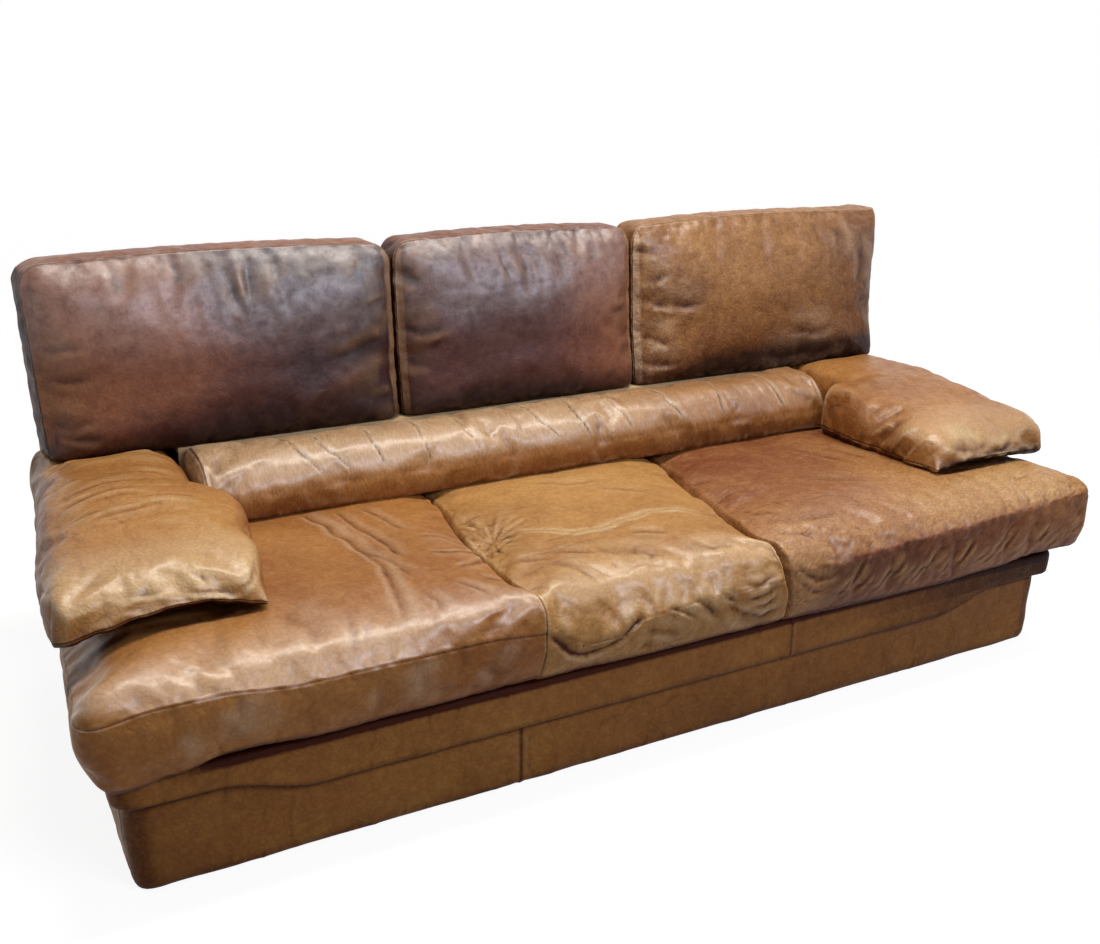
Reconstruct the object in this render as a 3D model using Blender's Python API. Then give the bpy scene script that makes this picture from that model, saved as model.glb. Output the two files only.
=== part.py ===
"""A three-seat leather sofa: plinth, seat frame, back frame, webbing, covers and loose cushions.

Metres, +Z up. The sofa faces -Y, and the origin is on the floor under the middle of its outline.
Depths ("d") are measured backwards from the front of the seat cushions.
"""

import math

import bmesh
import bpy
from mathutils import Vector

# Overall sizes
SEAT_SPAN = 2.150          # over the outer ends of the seat cushions
SEAT_DEPTH = 0.664         # of the seat cushions, front to back
MIDDLE_SEAT_WIDTH = 0.590  # between the two joints of the seat cushions
BACK_ROOM = 0.225          # lumbar board's front face to the outside back
FIT_GAP = 0.0003           # between faces that touch

# Plinth
PLINTH_INSET = 0.078       # end boards inside the seat cushions' outer ends
GLIDE_HEIGHT = 0.005
GLIDE_RADIUS = 0.0125
GLIDE_CORNER_INSET = 0.032 # glide centre from the end of the plinth
GLIDE_CHAMFER = 0.0015
DUST_CLOTH = 0.0008
PLINTH_BOARD_HEIGHT = 0.168
PLINTH_BOARD = 0.022
PLINTH_RECESS = 0.023      # front board behind the seat frame's front rail
PLINTH_CORNER = 0.021      # radius on the boards' outer corners

# Plinth cover: padded leather, fuller at its top
COVER_STEP_FRONT = 0.006   # cover's top behind the apron's lining
COVER_STEP_SIDE = 0.001
COVER_TAPER = 0.012        # less padding at the bottom
COVER_LEAST = 0.003        # leather and thin padding, where the taper leaves no more
COVER_EDGE = 0.005
COVER_TOP_GAP = 0.001
COVER_SWELL = 0.75         # share of the taper that is already gained at mid height
COVER_RETURN = 0.011       # front and back covers beyond the boards, at each end

# Seat frame
RAIL = 0.035
RAIL_HEIGHT = 0.050
RAIL_OVERHANG = 0.015      # seat frame beyond the plinth boards, at each end
SEAT_RAIL_SETBACK = 0.062
REAR_RAIL_REACH = 0.036    # seat rear rail behind the seat cushions

# Apron band: padded leather over the seat frame's outer faces
APRON_FRONT = 0.0165
APRON_SIDE = 0.0175
APRON_DROP_END = 0.005     # below the seat frame, at the ends
APRON_DROP_MIDDLE = 0.045  # and between the ogee bends
OGEE_START = 0.700         # from the centre to where the lower edge starts to rise
OGEE_RUN = 0.170
OGEE_STEPS = 6
APRON_EDGE = 0.007
APRON_BULGE = 0.0015       # at mid height
APRON_RETURN = 0.035       # front apron beyond the front rail, at each end

# Webbing and deck
STRAP_WIDTH = 0.065
STRAP = 0.0022
STRAPS_PER_SEAT = 3
STRAP_END_GAP = 0.002      # from a strap's end to the outer face of its rail
WEAVE_FLAT = 0.003         # beyond the edge of the strap that is crossed
WEAVE_RAMP = 0.016         # and to where the strap is level again
CROSS_STRAP_SHARES = (0.37, 0.76)
DECK_CLOTH = 0.0010
DECK_CLOTH_INSET = 0.007   # inside the seat frame, at each end
DECK_CLOTH_REACH = 0.001   # behind the seat cushions

# Back frame
POST_WIDTH = 0.045
POST_DEPTH = 0.0355
TOP_RAIL_HEIGHT = 0.060
TOP_RAIL_NOTCH = 0.010     # how far the top rail is let into the posts
BACK_FRAME_RISE = 0.630    # top of the posts above the seat frame
PANEL = 0.004
LUMBAR_BOARD = 0.012
SHELF = 0.0145
LUMBAR_END_DROP = 0.004    # ends of the lumbar board below the seat cushions' tops
WING_THICKNESS = 0.046
WING_GAP = 0.004           # behind the seat cushions
WING_RADIUS = 0.010
OUTSIDE_BACK = 0.0185
OUTSIDE_BACK_INSET = 0.065 # inside the seat cushions' outer ends
OUTSIDE_BACK_WALL = 0.010
OUTSIDE_BACK_CAP = 0.012
OUTSIDE_BACK_RADIUS = 0.012

# Cushions
SEAT_CUSHION_HEIGHT = 0.170
SEAT_RADIUS = 0.045
SEAT_CROWN = 0.010
SEAT_LIP = 0.010           # how far the front edge hangs over the apron
SEAT_LIP_HEIGHT = 0.080    # over which the overhang fades out
SEAT_LIP_RAMP = 0.020
LIP_CLEARANCE = 0.002      # from the overhang to the apron
SEAT_UNDERCUT = 0.012      # foot of the front face behind its middle
SEAT_NARROWING = 0.045     # of each outer seat cushion, from its front to its back
LEFT_JOINT_CREEP = 0.034   # joint of the seats, pushed outwards at the front by use
RIGHT_JOINT_CREEP = -0.095 # and the right one, pushed towards the middle
CUSHION_JOINT = 0.004      # between neighbouring cushions
ARM_WIDTH = 0.318
ARM_RADIUS = 0.040
ARM_NARROWING = 0.048      # outer face, from the front to the back
ARM_SETBACK = 0.145
ARM_REAR_GAP = 0.004
ARM_HEIGHT_BACK = 0.128
ARM_HEIGHT_FRONT = 0.090
ARM_SLOPE_SHARE = 0.545    # share of the arm's length over which it thickens, from its front
ARM_FLARE = 0.022          # inner face nearer the middle at its front
ARM_BULGE = 0.056          # and swollen inwards in front of the lumbar roll
ARM_BULGE_RUN = 0.160      # from the arm's front to where that swelling is full
ROLL_DEPTH = 0.168
ROLL_HEIGHT = 0.135
ROLL_RADIUS = 0.048
ROLL_LEAN = 0.022          # front of the roll leans back above its lower third
ROLL_LEAN_START = 0.35
ROLL_END_ROOM = 0.004      # lumbar board's upper part, off the arm cushions
ROLL_END_GAP = 0.002       # roll inside the ends of that part
BACK_CUSHION_INSET = 0.050 # inside the seat cushions' outer ends
BACK_CUSHION_HEIGHT = 0.372
BACK_CUSHION_DEPTH = 0.155
BACK_CUSHION_LEAN = 0.028
BACK_RADIUS = 0.042
BACK_FACE_CROWN = 0.020
BACK_TOP_CROWN = 0.010
BACK_CUSHION_GAP = 0.001   # off the top rail

# Shape of the pillows' rings: half way round an edge's rounding, and where that rounding ends
PILLOW_CUTS = 6
HALF_BEND = 1 - math.tan(math.pi / 8)

# Steps round a bent edge
CORNER_STEPS = 4
CUT_CORNER = 1 - math.sqrt(0.5)
CUT_OVERRUN = 0.050        # of the shapes that hollow out the outside back

# Padding that fits under the seat frame's overhang
PLINTH_PAD_TOP = PLINTH_RECESS - COVER_STEP_FRONT
PLINTH_PAD_BOTTOM = max(COVER_LEAST, PLINTH_PAD_TOP - COVER_TAPER)
COVER_SIDE_TOP = RAIL_OVERHANG - COVER_STEP_SIDE
COVER_SIDE_BOTTOM = max(COVER_LEAST, COVER_SIDE_TOP - COVER_TAPER)

# Levels above the floor
DUST_CLOTH_TOP = GLIDE_HEIGHT + FIT_GAP + DUST_CLOTH
PLINTH_BOTTOM = DUST_CLOTH_TOP + FIT_GAP
PLINTH_TOP = PLINTH_BOTTOM + PLINTH_BOARD_HEIGHT
RAIL_BOTTOM = PLINTH_TOP + FIT_GAP
RAIL_TOP = RAIL_BOTTOM + RAIL_HEIGHT
STRAP_BOTTOM = RAIL_TOP + FIT_GAP
WEAVE = (STRAP + FIT_GAP) / 2
DECK_BOTTOM = STRAP_BOTTOM + STRAP + WEAVE + FIT_GAP
SEAT_BOTTOM = DECK_BOTTOM + DECK_CLOTH + FIT_GAP
SEAT_TOP = SEAT_BOTTOM + SEAT_CUSHION_HEIGHT
ARM_BOTTOM = SEAT_TOP + SEAT_CROWN + FIT_GAP
SHELF_TOP = ARM_BOTTOM + ARM_HEIGHT_BACK
BACK_CUSHION_BOTTOM = SHELF_TOP + FIT_GAP
POST_TOP = RAIL_TOP + BACK_FRAME_RISE

# Half widths
SEAT_HALF = SEAT_SPAN / 2
JOINT_X = MIDDLE_SEAT_WIDTH / 2
PLINTH_HALF = SEAT_HALF - PLINTH_INSET
FRAME_HALF = PLINTH_HALF + RAIL_OVERHANG
RAIL_INNER = FRAME_HALF - RAIL
WING_INNER = FRAME_HALF + APRON_SIDE - WING_THICKNESS
ARM_INNER = SEAT_HALF - ARM_WIDTH
ROLL_HALF = ARM_INNER + ARM_FLARE / 2 - ROLL_END_ROOM
OUTSIDE_HALF = SEAT_HALF - OUTSIDE_BACK_INSET
POST_OUTER = OUTSIDE_HALF - OUTSIDE_BACK_WALL - FIT_GAP

# Depths
PLINTH_SETBACK = SEAT_RAIL_SETBACK + PLINTH_RECESS
SEAT_RAIL_BACK = SEAT_DEPTH + REAR_RAIL_REACH
LUMBAR_FRONT = SEAT_RAIL_BACK + FIT_GAP
OVERALL_DEPTH = SEAT_RAIL_BACK + BACK_ROOM
POST_BACK = OVERALL_DEPTH - OUTSIDE_BACK - FIT_GAP
POST_FRONT = POST_BACK - POST_DEPTH
BACK_RAIL_FRONT = POST_FRONT - FIT_GAP - RAIL
PLINTH_BACK = OVERALL_DEPTH - COVER_STEP_FRONT - PLINTH_PAD_TOP - PLINTH_BOARD
BACK_CUSHION_BACK = BACK_RAIL_FRONT + TOP_RAIL_NOTCH - BACK_CUSHION_GAP
BACK_CUSHION_FRONT = BACK_CUSHION_BACK - BACK_CUSHION_DEPTH
SEAT_LIP_END = SEAT_RAIL_SETBACK - APRON_FRONT - APRON_BULGE - LIP_CLEARANCE


def srgb(hex_value):
    """Linear colour of a hex sRGB value."""
    channels = [int(hex_value[i:i + 2], 16) / 255 for i in (0, 2, 4)]
    return [c / 12.92 if c <= 0.04045 else ((c + 0.055) / 1.055) ** 2.4 for c in channels]


def material(name, colour, roughness, metallic=0.0):
    made = bpy.data.materials.new(name)
    made.use_nodes = True
    shader = made.node_tree.nodes["Principled BSDF"]
    shader.inputs["Base Color"].default_value = (*srgb(colour), 1.0)
    shader.inputs["Roughness"].default_value = roughness
    shader.inputs["Metallic"].default_value = metallic
    return made


def clear_scene():
    for obj in list(bpy.data.objects):
        bpy.data.objects.remove(obj)


def y_at(depth):
    """Row-frame Y of a depth behind the seat front."""
    return depth - OVERALL_DEPTH / 2


def finish(name, shape, finish_material, smooth_angle=None):
    """Makes the bmesh an object with its origin at its own centre."""
    bmesh.ops.recalc_face_normals(shape, faces=shape.faces)
    lows = Vector([min(v.co[i] for v in shape.verts) for i in range(3)])
    highs = Vector([max(v.co[i] for v in shape.verts) for i in range(3)])
    centre = (lows + highs) / 2
    bmesh.ops.translate(shape, verts=shape.verts, vec=-centre)
    mesh = bpy.data.meshes.new(name)
    shape.to_mesh(mesh)
    shape.free()
    mesh.materials.append(finish_material)
    if smooth_angle is not None:
        mesh.shade_smooth()
        mesh.set_sharp_from_angle(angle=math.radians(smooth_angle))
    obj = bpy.data.objects.new(name, mesh)
    obj.location = centre
    bpy.context.scene.collection.objects.link(obj)
    return obj


def block(x, depth, z):
    """A box between pairs of X, depth and Z."""
    shape = bmesh.new()
    bmesh.ops.create_cube(shape, size=1.0)
    size = Vector((x[1] - x[0], depth[1] - depth[0], z[1] - z[0]))
    middle = Vector((sum(x) / 2, y_at(sum(depth) / 2), sum(z) / 2))
    bmesh.ops.scale(shape, verts=shape.verts, vec=size)
    bmesh.ops.translate(shape, verts=shape.verts, vec=middle)
    return shape


def upright_edges(shape, chosen):
    """The vertical edges of a block whose middle satisfies chosen(x, depth)."""
    found = []
    for edge in shape.edges:
        a, b = (v.co for v in edge.verts)
        if abs(a.z - b.z) > 1e-6 and abs(a.x - b.x) < 1e-6 and abs(a.y - b.y) < 1e-6:
            if chosen(a.x, a.y + OVERALL_DEPTH / 2):
                found.append(edge)
    return found


def rounded(shape, edges, radius, segments=4):
    bmesh.ops.bevel(shape, geom=edges, offset=radius, offset_type="OFFSET", segments=segments,
                    profile=0.5, affect="EDGES", material=-1)
    return shape


def board(name, x, depth, z, finish_material):
    return finish(name, block(x, depth, z), finish_material)


def extruded(outline, offset):
    """A solid from a closed outline of points, extruded by an offset."""
    shape = bmesh.new()
    face = shape.faces.new([shape.verts.new(point) for point in outline])
    grown = bmesh.ops.extrude_face_region(shape, geom=[face])
    moved = [item for item in grown["geom"] if isinstance(item, bmesh.types.BMVert)]
    bmesh.ops.translate(shape, verts=moved, vec=offset)
    return shape


def swept(rings):
    """A closed solid through rings of as many points each, with its two ends filled."""
    shape = bmesh.new()
    loops = []
    for ring in rings:
        verts = [shape.verts.new(point) for point in ring]
        loops.append([shape.edges.new((verts[i - 1], verts[i])) for i in range(len(verts))])
    for first, second in zip(loops, loops[1:]):
        bmesh.ops.bridge_loops(shape, edges=first + second)
    for end in (loops[0], loops[-1]):
        bmesh.ops.contextual_create(shape, geom=end)
    return shape


def smooth_step(low, high, value):
    share = min(1.0, max(0.0, (value - low) / (high - low)))
    return share * share * (3 - 2 * share)


# Plinth

def plinth(timber, black_plastic, cloth):
    side = PLINTH_HALF
    front, back = PLINTH_SETBACK, PLINTH_BACK + PLINTH_BOARD
    level = (PLINTH_BOTTOM, PLINTH_TOP)
    for name, depth, outer in (
        ("plinth_front_board", (front, front + PLINTH_BOARD), front),
        ("plinth_back_board", (back - PLINTH_BOARD, back), back),
    ):
        shape = block((-side, side), depth, level)
        corners = upright_edges(shape, lambda x, d, outer=outer: abs(d - outer) < 1e-5)
        finish(name, rounded(shape, corners, PLINTH_CORNER), timber, 30)
    between = (front + PLINTH_BOARD + FIT_GAP, back - PLINTH_BOARD - FIT_GAP)
    for hand, sign in (("left", -1), ("right", 1)):
        ends = sorted((sign * (side - PLINTH_BOARD), sign * side))
        board(f"plinth_end_board_{hand}", ends, between, level, timber)
        middle = sorted((sign * (JOINT_X - PLINTH_BOARD / 2), sign * (JOINT_X + PLINTH_BOARD / 2)))
        board(f"plinth_cross_board_{hand}", middle, between, level, timber)
    shape = block((-side, side), (front, back), (GLIDE_HEIGHT + FIT_GAP, DUST_CLOTH_TOP))
    rounded(shape, upright_edges(shape, lambda x, d: True), PLINTH_CORNER)
    finish("dust_cloth", shape, cloth)
    corner = side - GLIDE_CORNER_INSET
    for row, depth in (("front", front + PLINTH_BOARD / 2), ("back", back - PLINTH_BOARD / 2)):
        for place, x in (("left", -corner), ("middle", 0.0), ("right", corner)):
            glide(f"glide_{row}_{place}", x, depth, black_plastic)


def glide(name, x, depth, black_plastic):
    """A nail-on glide: a round pad with a chamfered foot."""
    shape = bmesh.new()
    bmesh.ops.create_cone(shape, cap_ends=True, segments=20, radius1=GLIDE_RADIUS,
                          radius2=GLIDE_RADIUS, depth=GLIDE_HEIGHT)
    foot = [e for e in shape.edges if all(v.co.z < 0 for v in e.verts) and len(e.link_faces) == 2]
    rim = [e for e in foot if abs(e.link_faces[0].normal.z) + abs(e.link_faces[1].normal.z) > 0.9]
    bmesh.ops.bevel(shape, geom=rim, offset=GLIDE_CHAMFER, offset_type="OFFSET", segments=1,
                    profile=0.5, affect="EDGES", material=-1)
    bmesh.ops.translate(shape, verts=shape.verts, vec=(x, y_at(depth), GLIDE_HEIGHT / 2))
    finish(name, shape, black_plastic, 30)


# Padded covers

def corner_path(half, front, radius, turn_in, stops):
    """Points (x, depth, outward x, outward depth) round the front, from the left return to the right one."""
    path = [(-half, front + turn_in, -1.0, 0.0)]
    for i in range(CORNER_STEPS + 1):
        angle = math.pi / 2 * i / CORNER_STEPS
        out = (-math.cos(angle), -math.sin(angle))
        path.append((-half + radius + radius * out[0], front + radius + radius * out[1], *out))
    path += [(x, front, 0.0, -1.0) for x in stops]
    for i in range(CORNER_STEPS + 1):
        angle = math.pi / 2 * (1 - i / CORNER_STEPS)
        out = (math.cos(angle), -math.sin(angle))
        path.append((half - radius + radius * out[0], front + radius + radius * out[1], *out))
    path.append((half, front + turn_in, 1.0, 0.0))
    return path


def cover_ring(point, section):
    """One ring of a cover, from its path point and its section of (outward, z) pairs."""
    x, depth, out_x, out_depth = point
    return [(x + out_x * out, y_at(depth + out_depth * out), z) for out, z in section]


def plinth_section(bottom, top):
    """Section of a plinth cover whose padding swells from the bottom thickness to the top one."""
    low, high = PLINTH_BOTTOM - FIT_GAP, PLINTH_TOP - COVER_TOP_GAP
    low_edge, high_edge = (min(COVER_EDGE, (thickness - FIT_GAP) / 2) for thickness in (bottom, top))
    swell = bottom + (top - bottom) * COVER_SWELL
    return [(FIT_GAP, low), (bottom - low_edge, low), (bottom, low + low_edge),
            (swell, (low + high) / 2), (top, high - high_edge), (top - high_edge, high), (FIT_GAP, high)]


def plinth_covers(leather):
    """Front and back covers turn the corners; the end covers butt against their returns."""
    turn_in = PLINTH_BOARD + COVER_RETURN
    front, back = PLINTH_SETBACK, PLINTH_BACK + PLINTH_BOARD
    path = corner_path(PLINTH_HALF, front, PLINTH_CORNER, turn_in, (0.0,))

    def section(point):
        along_front = abs(point[3])
        bottom = COVER_SIDE_BOTTOM + (PLINTH_PAD_BOTTOM - COVER_SIDE_BOTTOM) * along_front
        top = COVER_SIDE_TOP + (PLINTH_PAD_TOP - COVER_SIDE_TOP) * along_front
        return plinth_section(bottom, top)

    rings = [cover_ring(point, section(point)) for point in path]
    finish("plinth_cover_front", swept(rings), leather, 40)
    mirrored = [(x, front + back - depth, out_x, -out_depth) for x, depth, out_x, out_depth in path]
    rings = [cover_ring(point, section(point)) for point in mirrored]
    finish("plinth_cover_back", swept(rings), leather, 40)
    ends = (front + turn_in + FIT_GAP, back - turn_in - FIT_GAP)
    for hand, sign in (("left", -1), ("right", 1)):
        rings = [cover_ring((sign * PLINTH_HALF, depth, sign, 0.0),
                            plinth_section(COVER_SIDE_BOTTOM, COVER_SIDE_TOP)) for depth in ends]
        finish(f"plinth_cover_{hand}", swept(rings), leather, 40)


def apron_bottom(x):
    """Lower edge of the apron: low between the ogee bends, higher at the ends."""
    rise = smooth_step(OGEE_START, OGEE_START + OGEE_RUN, abs(x))
    return RAIL_BOTTOM - APRON_DROP_MIDDLE + rise * (APRON_DROP_MIDDLE - APRON_DROP_END)


def apron_section(thickness, bottom):
    top, cut = RAIL_TOP, APRON_EDGE * CUT_CORNER
    return [(FIT_GAP, bottom), (thickness - APRON_EDGE, bottom), (thickness - cut, bottom + cut),
            (thickness, bottom + APRON_EDGE), (thickness + APRON_BULGE, (bottom + top) / 2),
            (thickness, top - APRON_EDGE), (thickness - cut, top - cut),
            (thickness - APRON_EDGE, top), (FIT_GAP, top)]


def aprons(leather):
    turn_in = RAIL + APRON_RETURN
    bend = [OGEE_START + OGEE_RUN * i / OGEE_STEPS for i in range(OGEE_STEPS + 1)]
    stops = [-x for x in reversed(bend)] + [0.0] + bend
    path = corner_path(FRAME_HALF, SEAT_RAIL_SETBACK, PLINTH_CORNER, turn_in, stops)
    rings = []
    for point in path:
        thickness = APRON_SIDE + (APRON_FRONT - APRON_SIDE) * abs(point[3])
        rings.append(cover_ring(point, apron_section(thickness, apron_bottom(point[0]))))
    finish("apron_front", swept(rings), leather, 40)
    ends = (SEAT_RAIL_SETBACK + turn_in + FIT_GAP, POST_BACK)
    for hand, sign in (("left", -1), ("right", 1)):
        section = apron_section(APRON_SIDE, apron_bottom(FRAME_HALF))
        rings = [cover_ring((sign * FRAME_HALF, depth, sign, 0.0), section) for depth in ends]
        finish(f"apron_{hand}", swept(rings), leather, 40)


# Seat frame, webbing and deck

def seat_frame(timber):
    level = (RAIL_BOTTOM, RAIL_TOP)
    front = (SEAT_RAIL_SETBACK, SEAT_RAIL_SETBACK + RAIL)
    shape = block((-FRAME_HALF, FRAME_HALF), front, level)
    corners = upright_edges(shape, lambda x, d: abs(d - front[0]) < 1e-5)
    finish("seat_front_rail", rounded(shape, corners, PLINTH_CORNER), timber, 30)
    rear = (SEAT_RAIL_BACK - RAIL, SEAT_RAIL_BACK)
    inner = RAIL_INNER - FIT_GAP
    board("seat_rear_rail", (-inner, inner), rear, level, timber)
    board("back_bottom_rail", (-FRAME_HALF, FRAME_HALF),
          (BACK_RAIL_FRONT, BACK_RAIL_FRONT + RAIL), level, timber)
    ends = (front[1] + FIT_GAP, BACK_RAIL_FRONT - FIT_GAP)
    for hand, sign in (("left", -1), ("right", 1)):
        x = sorted((sign * RAIL_INNER, sign * FRAME_HALF))
        board(f"seat_end_rail_{hand}", x, ends, level, timber)
        x = sorted((sign * (JOINT_X - RAIL / 2), sign * (JOINT_X + RAIL / 2)))
        board(f"seat_cross_rail_{hand}", x, (ends[0], rear[0] - FIT_GAP), level, timber)


def strap_lanes():
    """X of each front-to-back strap, evenly spaced between the rails of each seat."""
    seats = ((-RAIL_INNER, -JOINT_X - RAIL / 2), (-JOINT_X + RAIL / 2, JOINT_X - RAIL / 2),
             (JOINT_X + RAIL / 2, RAIL_INNER))
    lanes = []
    for low, high in seats:
        pitch = (high - low) / STRAPS_PER_SEAT
        lanes += [low + pitch * (i + 0.5) for i in range(STRAPS_PER_SEAT)]
    return lanes


def woven_line(start, end, crossings):
    """(along, height) pairs of a strap that lifts or drops by half a thickness at each (place, sign)."""
    flat, ramp = STRAP_WIDTH / 2 + WEAVE_FLAT, STRAP_WIDTH / 2 + WEAVE_RAMP
    line = [(start, 0.0)]
    for place, sign in crossings:
        line += [(place - ramp, 0.0), (place - flat, sign * WEAVE),
                 (place + flat, sign * WEAVE), (place + ramp, 0.0)]
    return line + [(end, 0.0)]


def strap(name, line, across, along_x, webbing):
    """A flat strap whose line of (along, height) runs along X or along the depth."""
    rings = []
    for along, height in line:
        ring = []
        for side, top in ((-1, 0), (1, 0), (1, 1), (-1, 1)):
            wide = across + side * STRAP_WIDTH / 2
            z = STRAP_BOTTOM + height + top * STRAP
            ring.append((along, y_at(wide), z) if along_x else (wide, y_at(along), z))
        rings.append(ring)
    finish(name, swept(rings), webbing)


def webbing_deck(webbing, cloth):
    """Elastic straps stapled to the rails and woven over and under each other."""
    lanes = strap_lanes()
    webbed_depth = SEAT_RAIL_BACK - SEAT_RAIL_SETBACK
    rows = [SEAT_RAIL_SETBACK + webbed_depth * share for share in CROSS_STRAP_SHARES]
    depth = (SEAT_RAIL_SETBACK + STRAP_END_GAP, SEAT_RAIL_BACK - STRAP_END_GAP)
    for i, x in enumerate(lanes):
        crossings = [(row, 1 if (i + j) % 2 else -1) for j, row in enumerate(rows)]
        strap(f"seat_strap_{i + 1}", woven_line(*depth, crossings), x, False, webbing)
    reach = FRAME_HALF - STRAP_END_GAP
    for j, row in enumerate(rows):
        crossings = [(x, -1 if (i + j) % 2 else 1) for i, x in enumerate(lanes)]
        name = ("cross_strap_front", "cross_strap_back")[j]
        strap(name, woven_line(-reach, reach, crossings), row, True, webbing)
    half = FRAME_HALF - DECK_CLOTH_INSET
    board("deck_cloth", (-half, half), (depth[0], SEAT_DEPTH + DECK_CLOTH_REACH),
          (DECK_BOTTOM, DECK_BOTTOM + DECK_CLOTH), cloth)


# Back frame

def back_frame(timber, plywood, hardboard):
    posts = (JOINT_X - POST_WIDTH / 2, JOINT_X + POST_WIDTH / 2), (POST_OUTER - POST_WIDTH, POST_OUTER)
    rail_depth = (POST_FRONT + TOP_RAIL_NOTCH - RAIL, POST_FRONT + TOP_RAIL_NOTCH)
    rail_level = (POST_TOP - TOP_RAIL_HEIGHT, POST_TOP)
    for hand, sign in (("left", -1), ("right", 1)):
        for place, span in zip(("inner", "outer"), posts):
            notched_post(f"back_post_{place}_{hand}", sorted((sign * span[0], sign * span[1])),
                         rail_level[0], timber)
    board("back_top_rail", (-POST_OUTER, POST_OUTER),
          (rail_depth[0], rail_depth[1] - FIT_GAP), (rail_level[0] + FIT_GAP, rail_level[1]), timber)
    board("back_support_panel", (-POST_OUTER, POST_OUTER),
          (POST_FRONT - FIT_GAP - PANEL, POST_FRONT - FIT_GAP),
          (SHELF_TOP + FIT_GAP, rail_level[0] - FIT_GAP), hardboard)
    lumbar_board(plywood)
    board("lumbar_shelf", (-ROLL_HALF, ROLL_HALF), (LUMBAR_FRONT, POST_FRONT - FIT_GAP),
          (SHELF_TOP - SHELF, SHELF_TOP), plywood)


def notched_post(name, x, notch_bottom, timber):
    """A post with its top cut back for the top rail."""
    notch = POST_FRONT + TOP_RAIL_NOTCH
    outline = [(POST_FRONT, RAIL_BOTTOM), (POST_BACK, RAIL_BOTTOM), (POST_BACK, POST_TOP),
               (notch, POST_TOP), (notch, notch_bottom), (POST_FRONT, notch_bottom)]
    points = [(x[0], y_at(depth), z) for depth, z in outline]
    finish(name, extruded(points, (x[1] - x[0], 0, 0)), timber)


def lumbar_board(plywood):
    """Stepped board: its ends stop under the arm cushions, its middle carries the shelf."""
    end, low = RAIL_INNER - FIT_GAP, SEAT_TOP - LUMBAR_END_DROP
    middle, high = ROLL_HALF, SHELF_TOP - SHELF - FIT_GAP
    outline = [(-end, RAIL_BOTTOM), (end, RAIL_BOTTOM), (end, low), (middle, low),
               (middle, high), (-middle, high), (-middle, low), (-end, low)]
    points = [(x, y_at(LUMBAR_FRONT), z) for x, z in outline]
    finish("lumbar_board", extruded(points, (0, LUMBAR_BOARD, 0)), plywood)


def back_wings(leather):
    """Leather-covered side boards between the seat end rails and the posts."""
    depth = (SEAT_DEPTH + WING_GAP, POST_BACK)
    level = (RAIL_TOP + FIT_GAP, ARM_BOTTOM - FIT_GAP)
    for hand, sign in (("left", -1), ("right", 1)):
        outer = sign * (FRAME_HALF + APRON_SIDE)
        inner = sign * max(POST_OUTER + FIT_GAP, WING_INNER)
        shape = block(sorted((inner, outer)), depth, level)
        long_edges = [e for e in shape.edges if all(abs(v.co.x - outer) < 1e-5 for v in e.verts)]
        finish(f"back_wing_{hand}", rounded(shape, long_edges, WING_RADIUS, 2), leather, 40)


def outside_back(leather):
    """A tray of padded leather that closes the back frame from behind, above and at its ends."""
    low, high = RAIL_BOTTOM, POST_TOP + FIT_GAP + OUTSIDE_BACK_CAP
    front = POST_FRONT + TOP_RAIL_NOTCH - RAIL
    half = OUTSIDE_HALF
    shape = block((-half, half), (front, OVERALL_DEPTH), (low, high))
    rear = y_at(OVERALL_DEPTH) - 1e-5
    soft = [e for e in shape.edges if all(v.co.y > rear for v in e.verts)]
    rounded(shape, soft, OUTSIDE_BACK_RADIUS, 3)
    tray = finish("outside_back", shape, leather, 40)
    hollow_half = POST_OUTER + FIT_GAP
    over = CUT_OVERRUN
    hollow = block((-hollow_half, hollow_half), (front - over, POST_BACK + FIT_GAP),
                   (low - over, POST_TOP + FIT_GAP))
    cutter = finish("outside_back_hollow", hollow, leather)
    upright = block((-half - over, half + over), (front - over, POST_BACK + FIT_GAP),
                    (low - over, ARM_BOTTOM))
    wing_cutter = finish("outside_back_wing_room", upright, leather)
    for cut in (cutter, wing_cutter):
        cut.hide_render = True
        cut.display_type = "WIRE"
        modifier = tray.modifiers.new("Cut", "BOOLEAN")
        modifier.operation = "DIFFERENCE"
        modifier.object = cut
    return tray


# Soft parts

def pillow(x, depth, z, radius, face_crown=0.0, top_crown=0.0):
    """A rounded closed form in the box given by pairs of X, depth and Z; its front and top may swell."""
    shape = bmesh.new()
    bmesh.ops.create_cube(shape, size=2.0)
    bmesh.ops.subdivide_edges(shape, edges=shape.edges[:], cuts=PILLOW_CUTS, use_grid_fill=True)
    half = Vector(((x[1] - x[0]) / 2, (depth[1] - depth[0]) / 2, (z[1] - z[0]) / 2))
    middle = Vector((sum(x) / 2, y_at(sum(depth) / 2), sum(z) / 2))
    for vert in shape.verts:
        point, core = Vector(), Vector()
        for axis in range(3):
            point[axis] = ring_place(vert.co[axis], radius / half[axis]) * half[axis]
            limit = half[axis] - radius
            core[axis] = min(limit, max(-limit, point[axis]))
        offset = point - core
        if offset.length > 0:
            point = core + offset.normalized() * radius
        across, forward, up = (point[axis] / half[axis] for axis in range(3))
        swell = Vector()
        if forward < 0:
            swell.y = forward * face_crown * max(0.0, 1 - across ** 2) * max(0.0, 1 - up ** 2)
        if up > 0:
            swell.z = up * top_crown * max(0.0, 1 - across ** 2) * max(0.0, 1 - forward ** 2)
        vert.co = middle + point + swell
    return shape


def ring_place(even, radius_share):
    """Moves evenly cut rings so that three of them lie on the rounding of an edge."""
    step = round((1 - abs(even)) * (PILLOW_CUTS + 1) / 2)
    flat = 1 - radius_share
    places = (1.0, 1 - HALF_BEND * radius_share, flat, flat / 3)
    return math.copysign(places[min(step, 3)], even)


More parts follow.
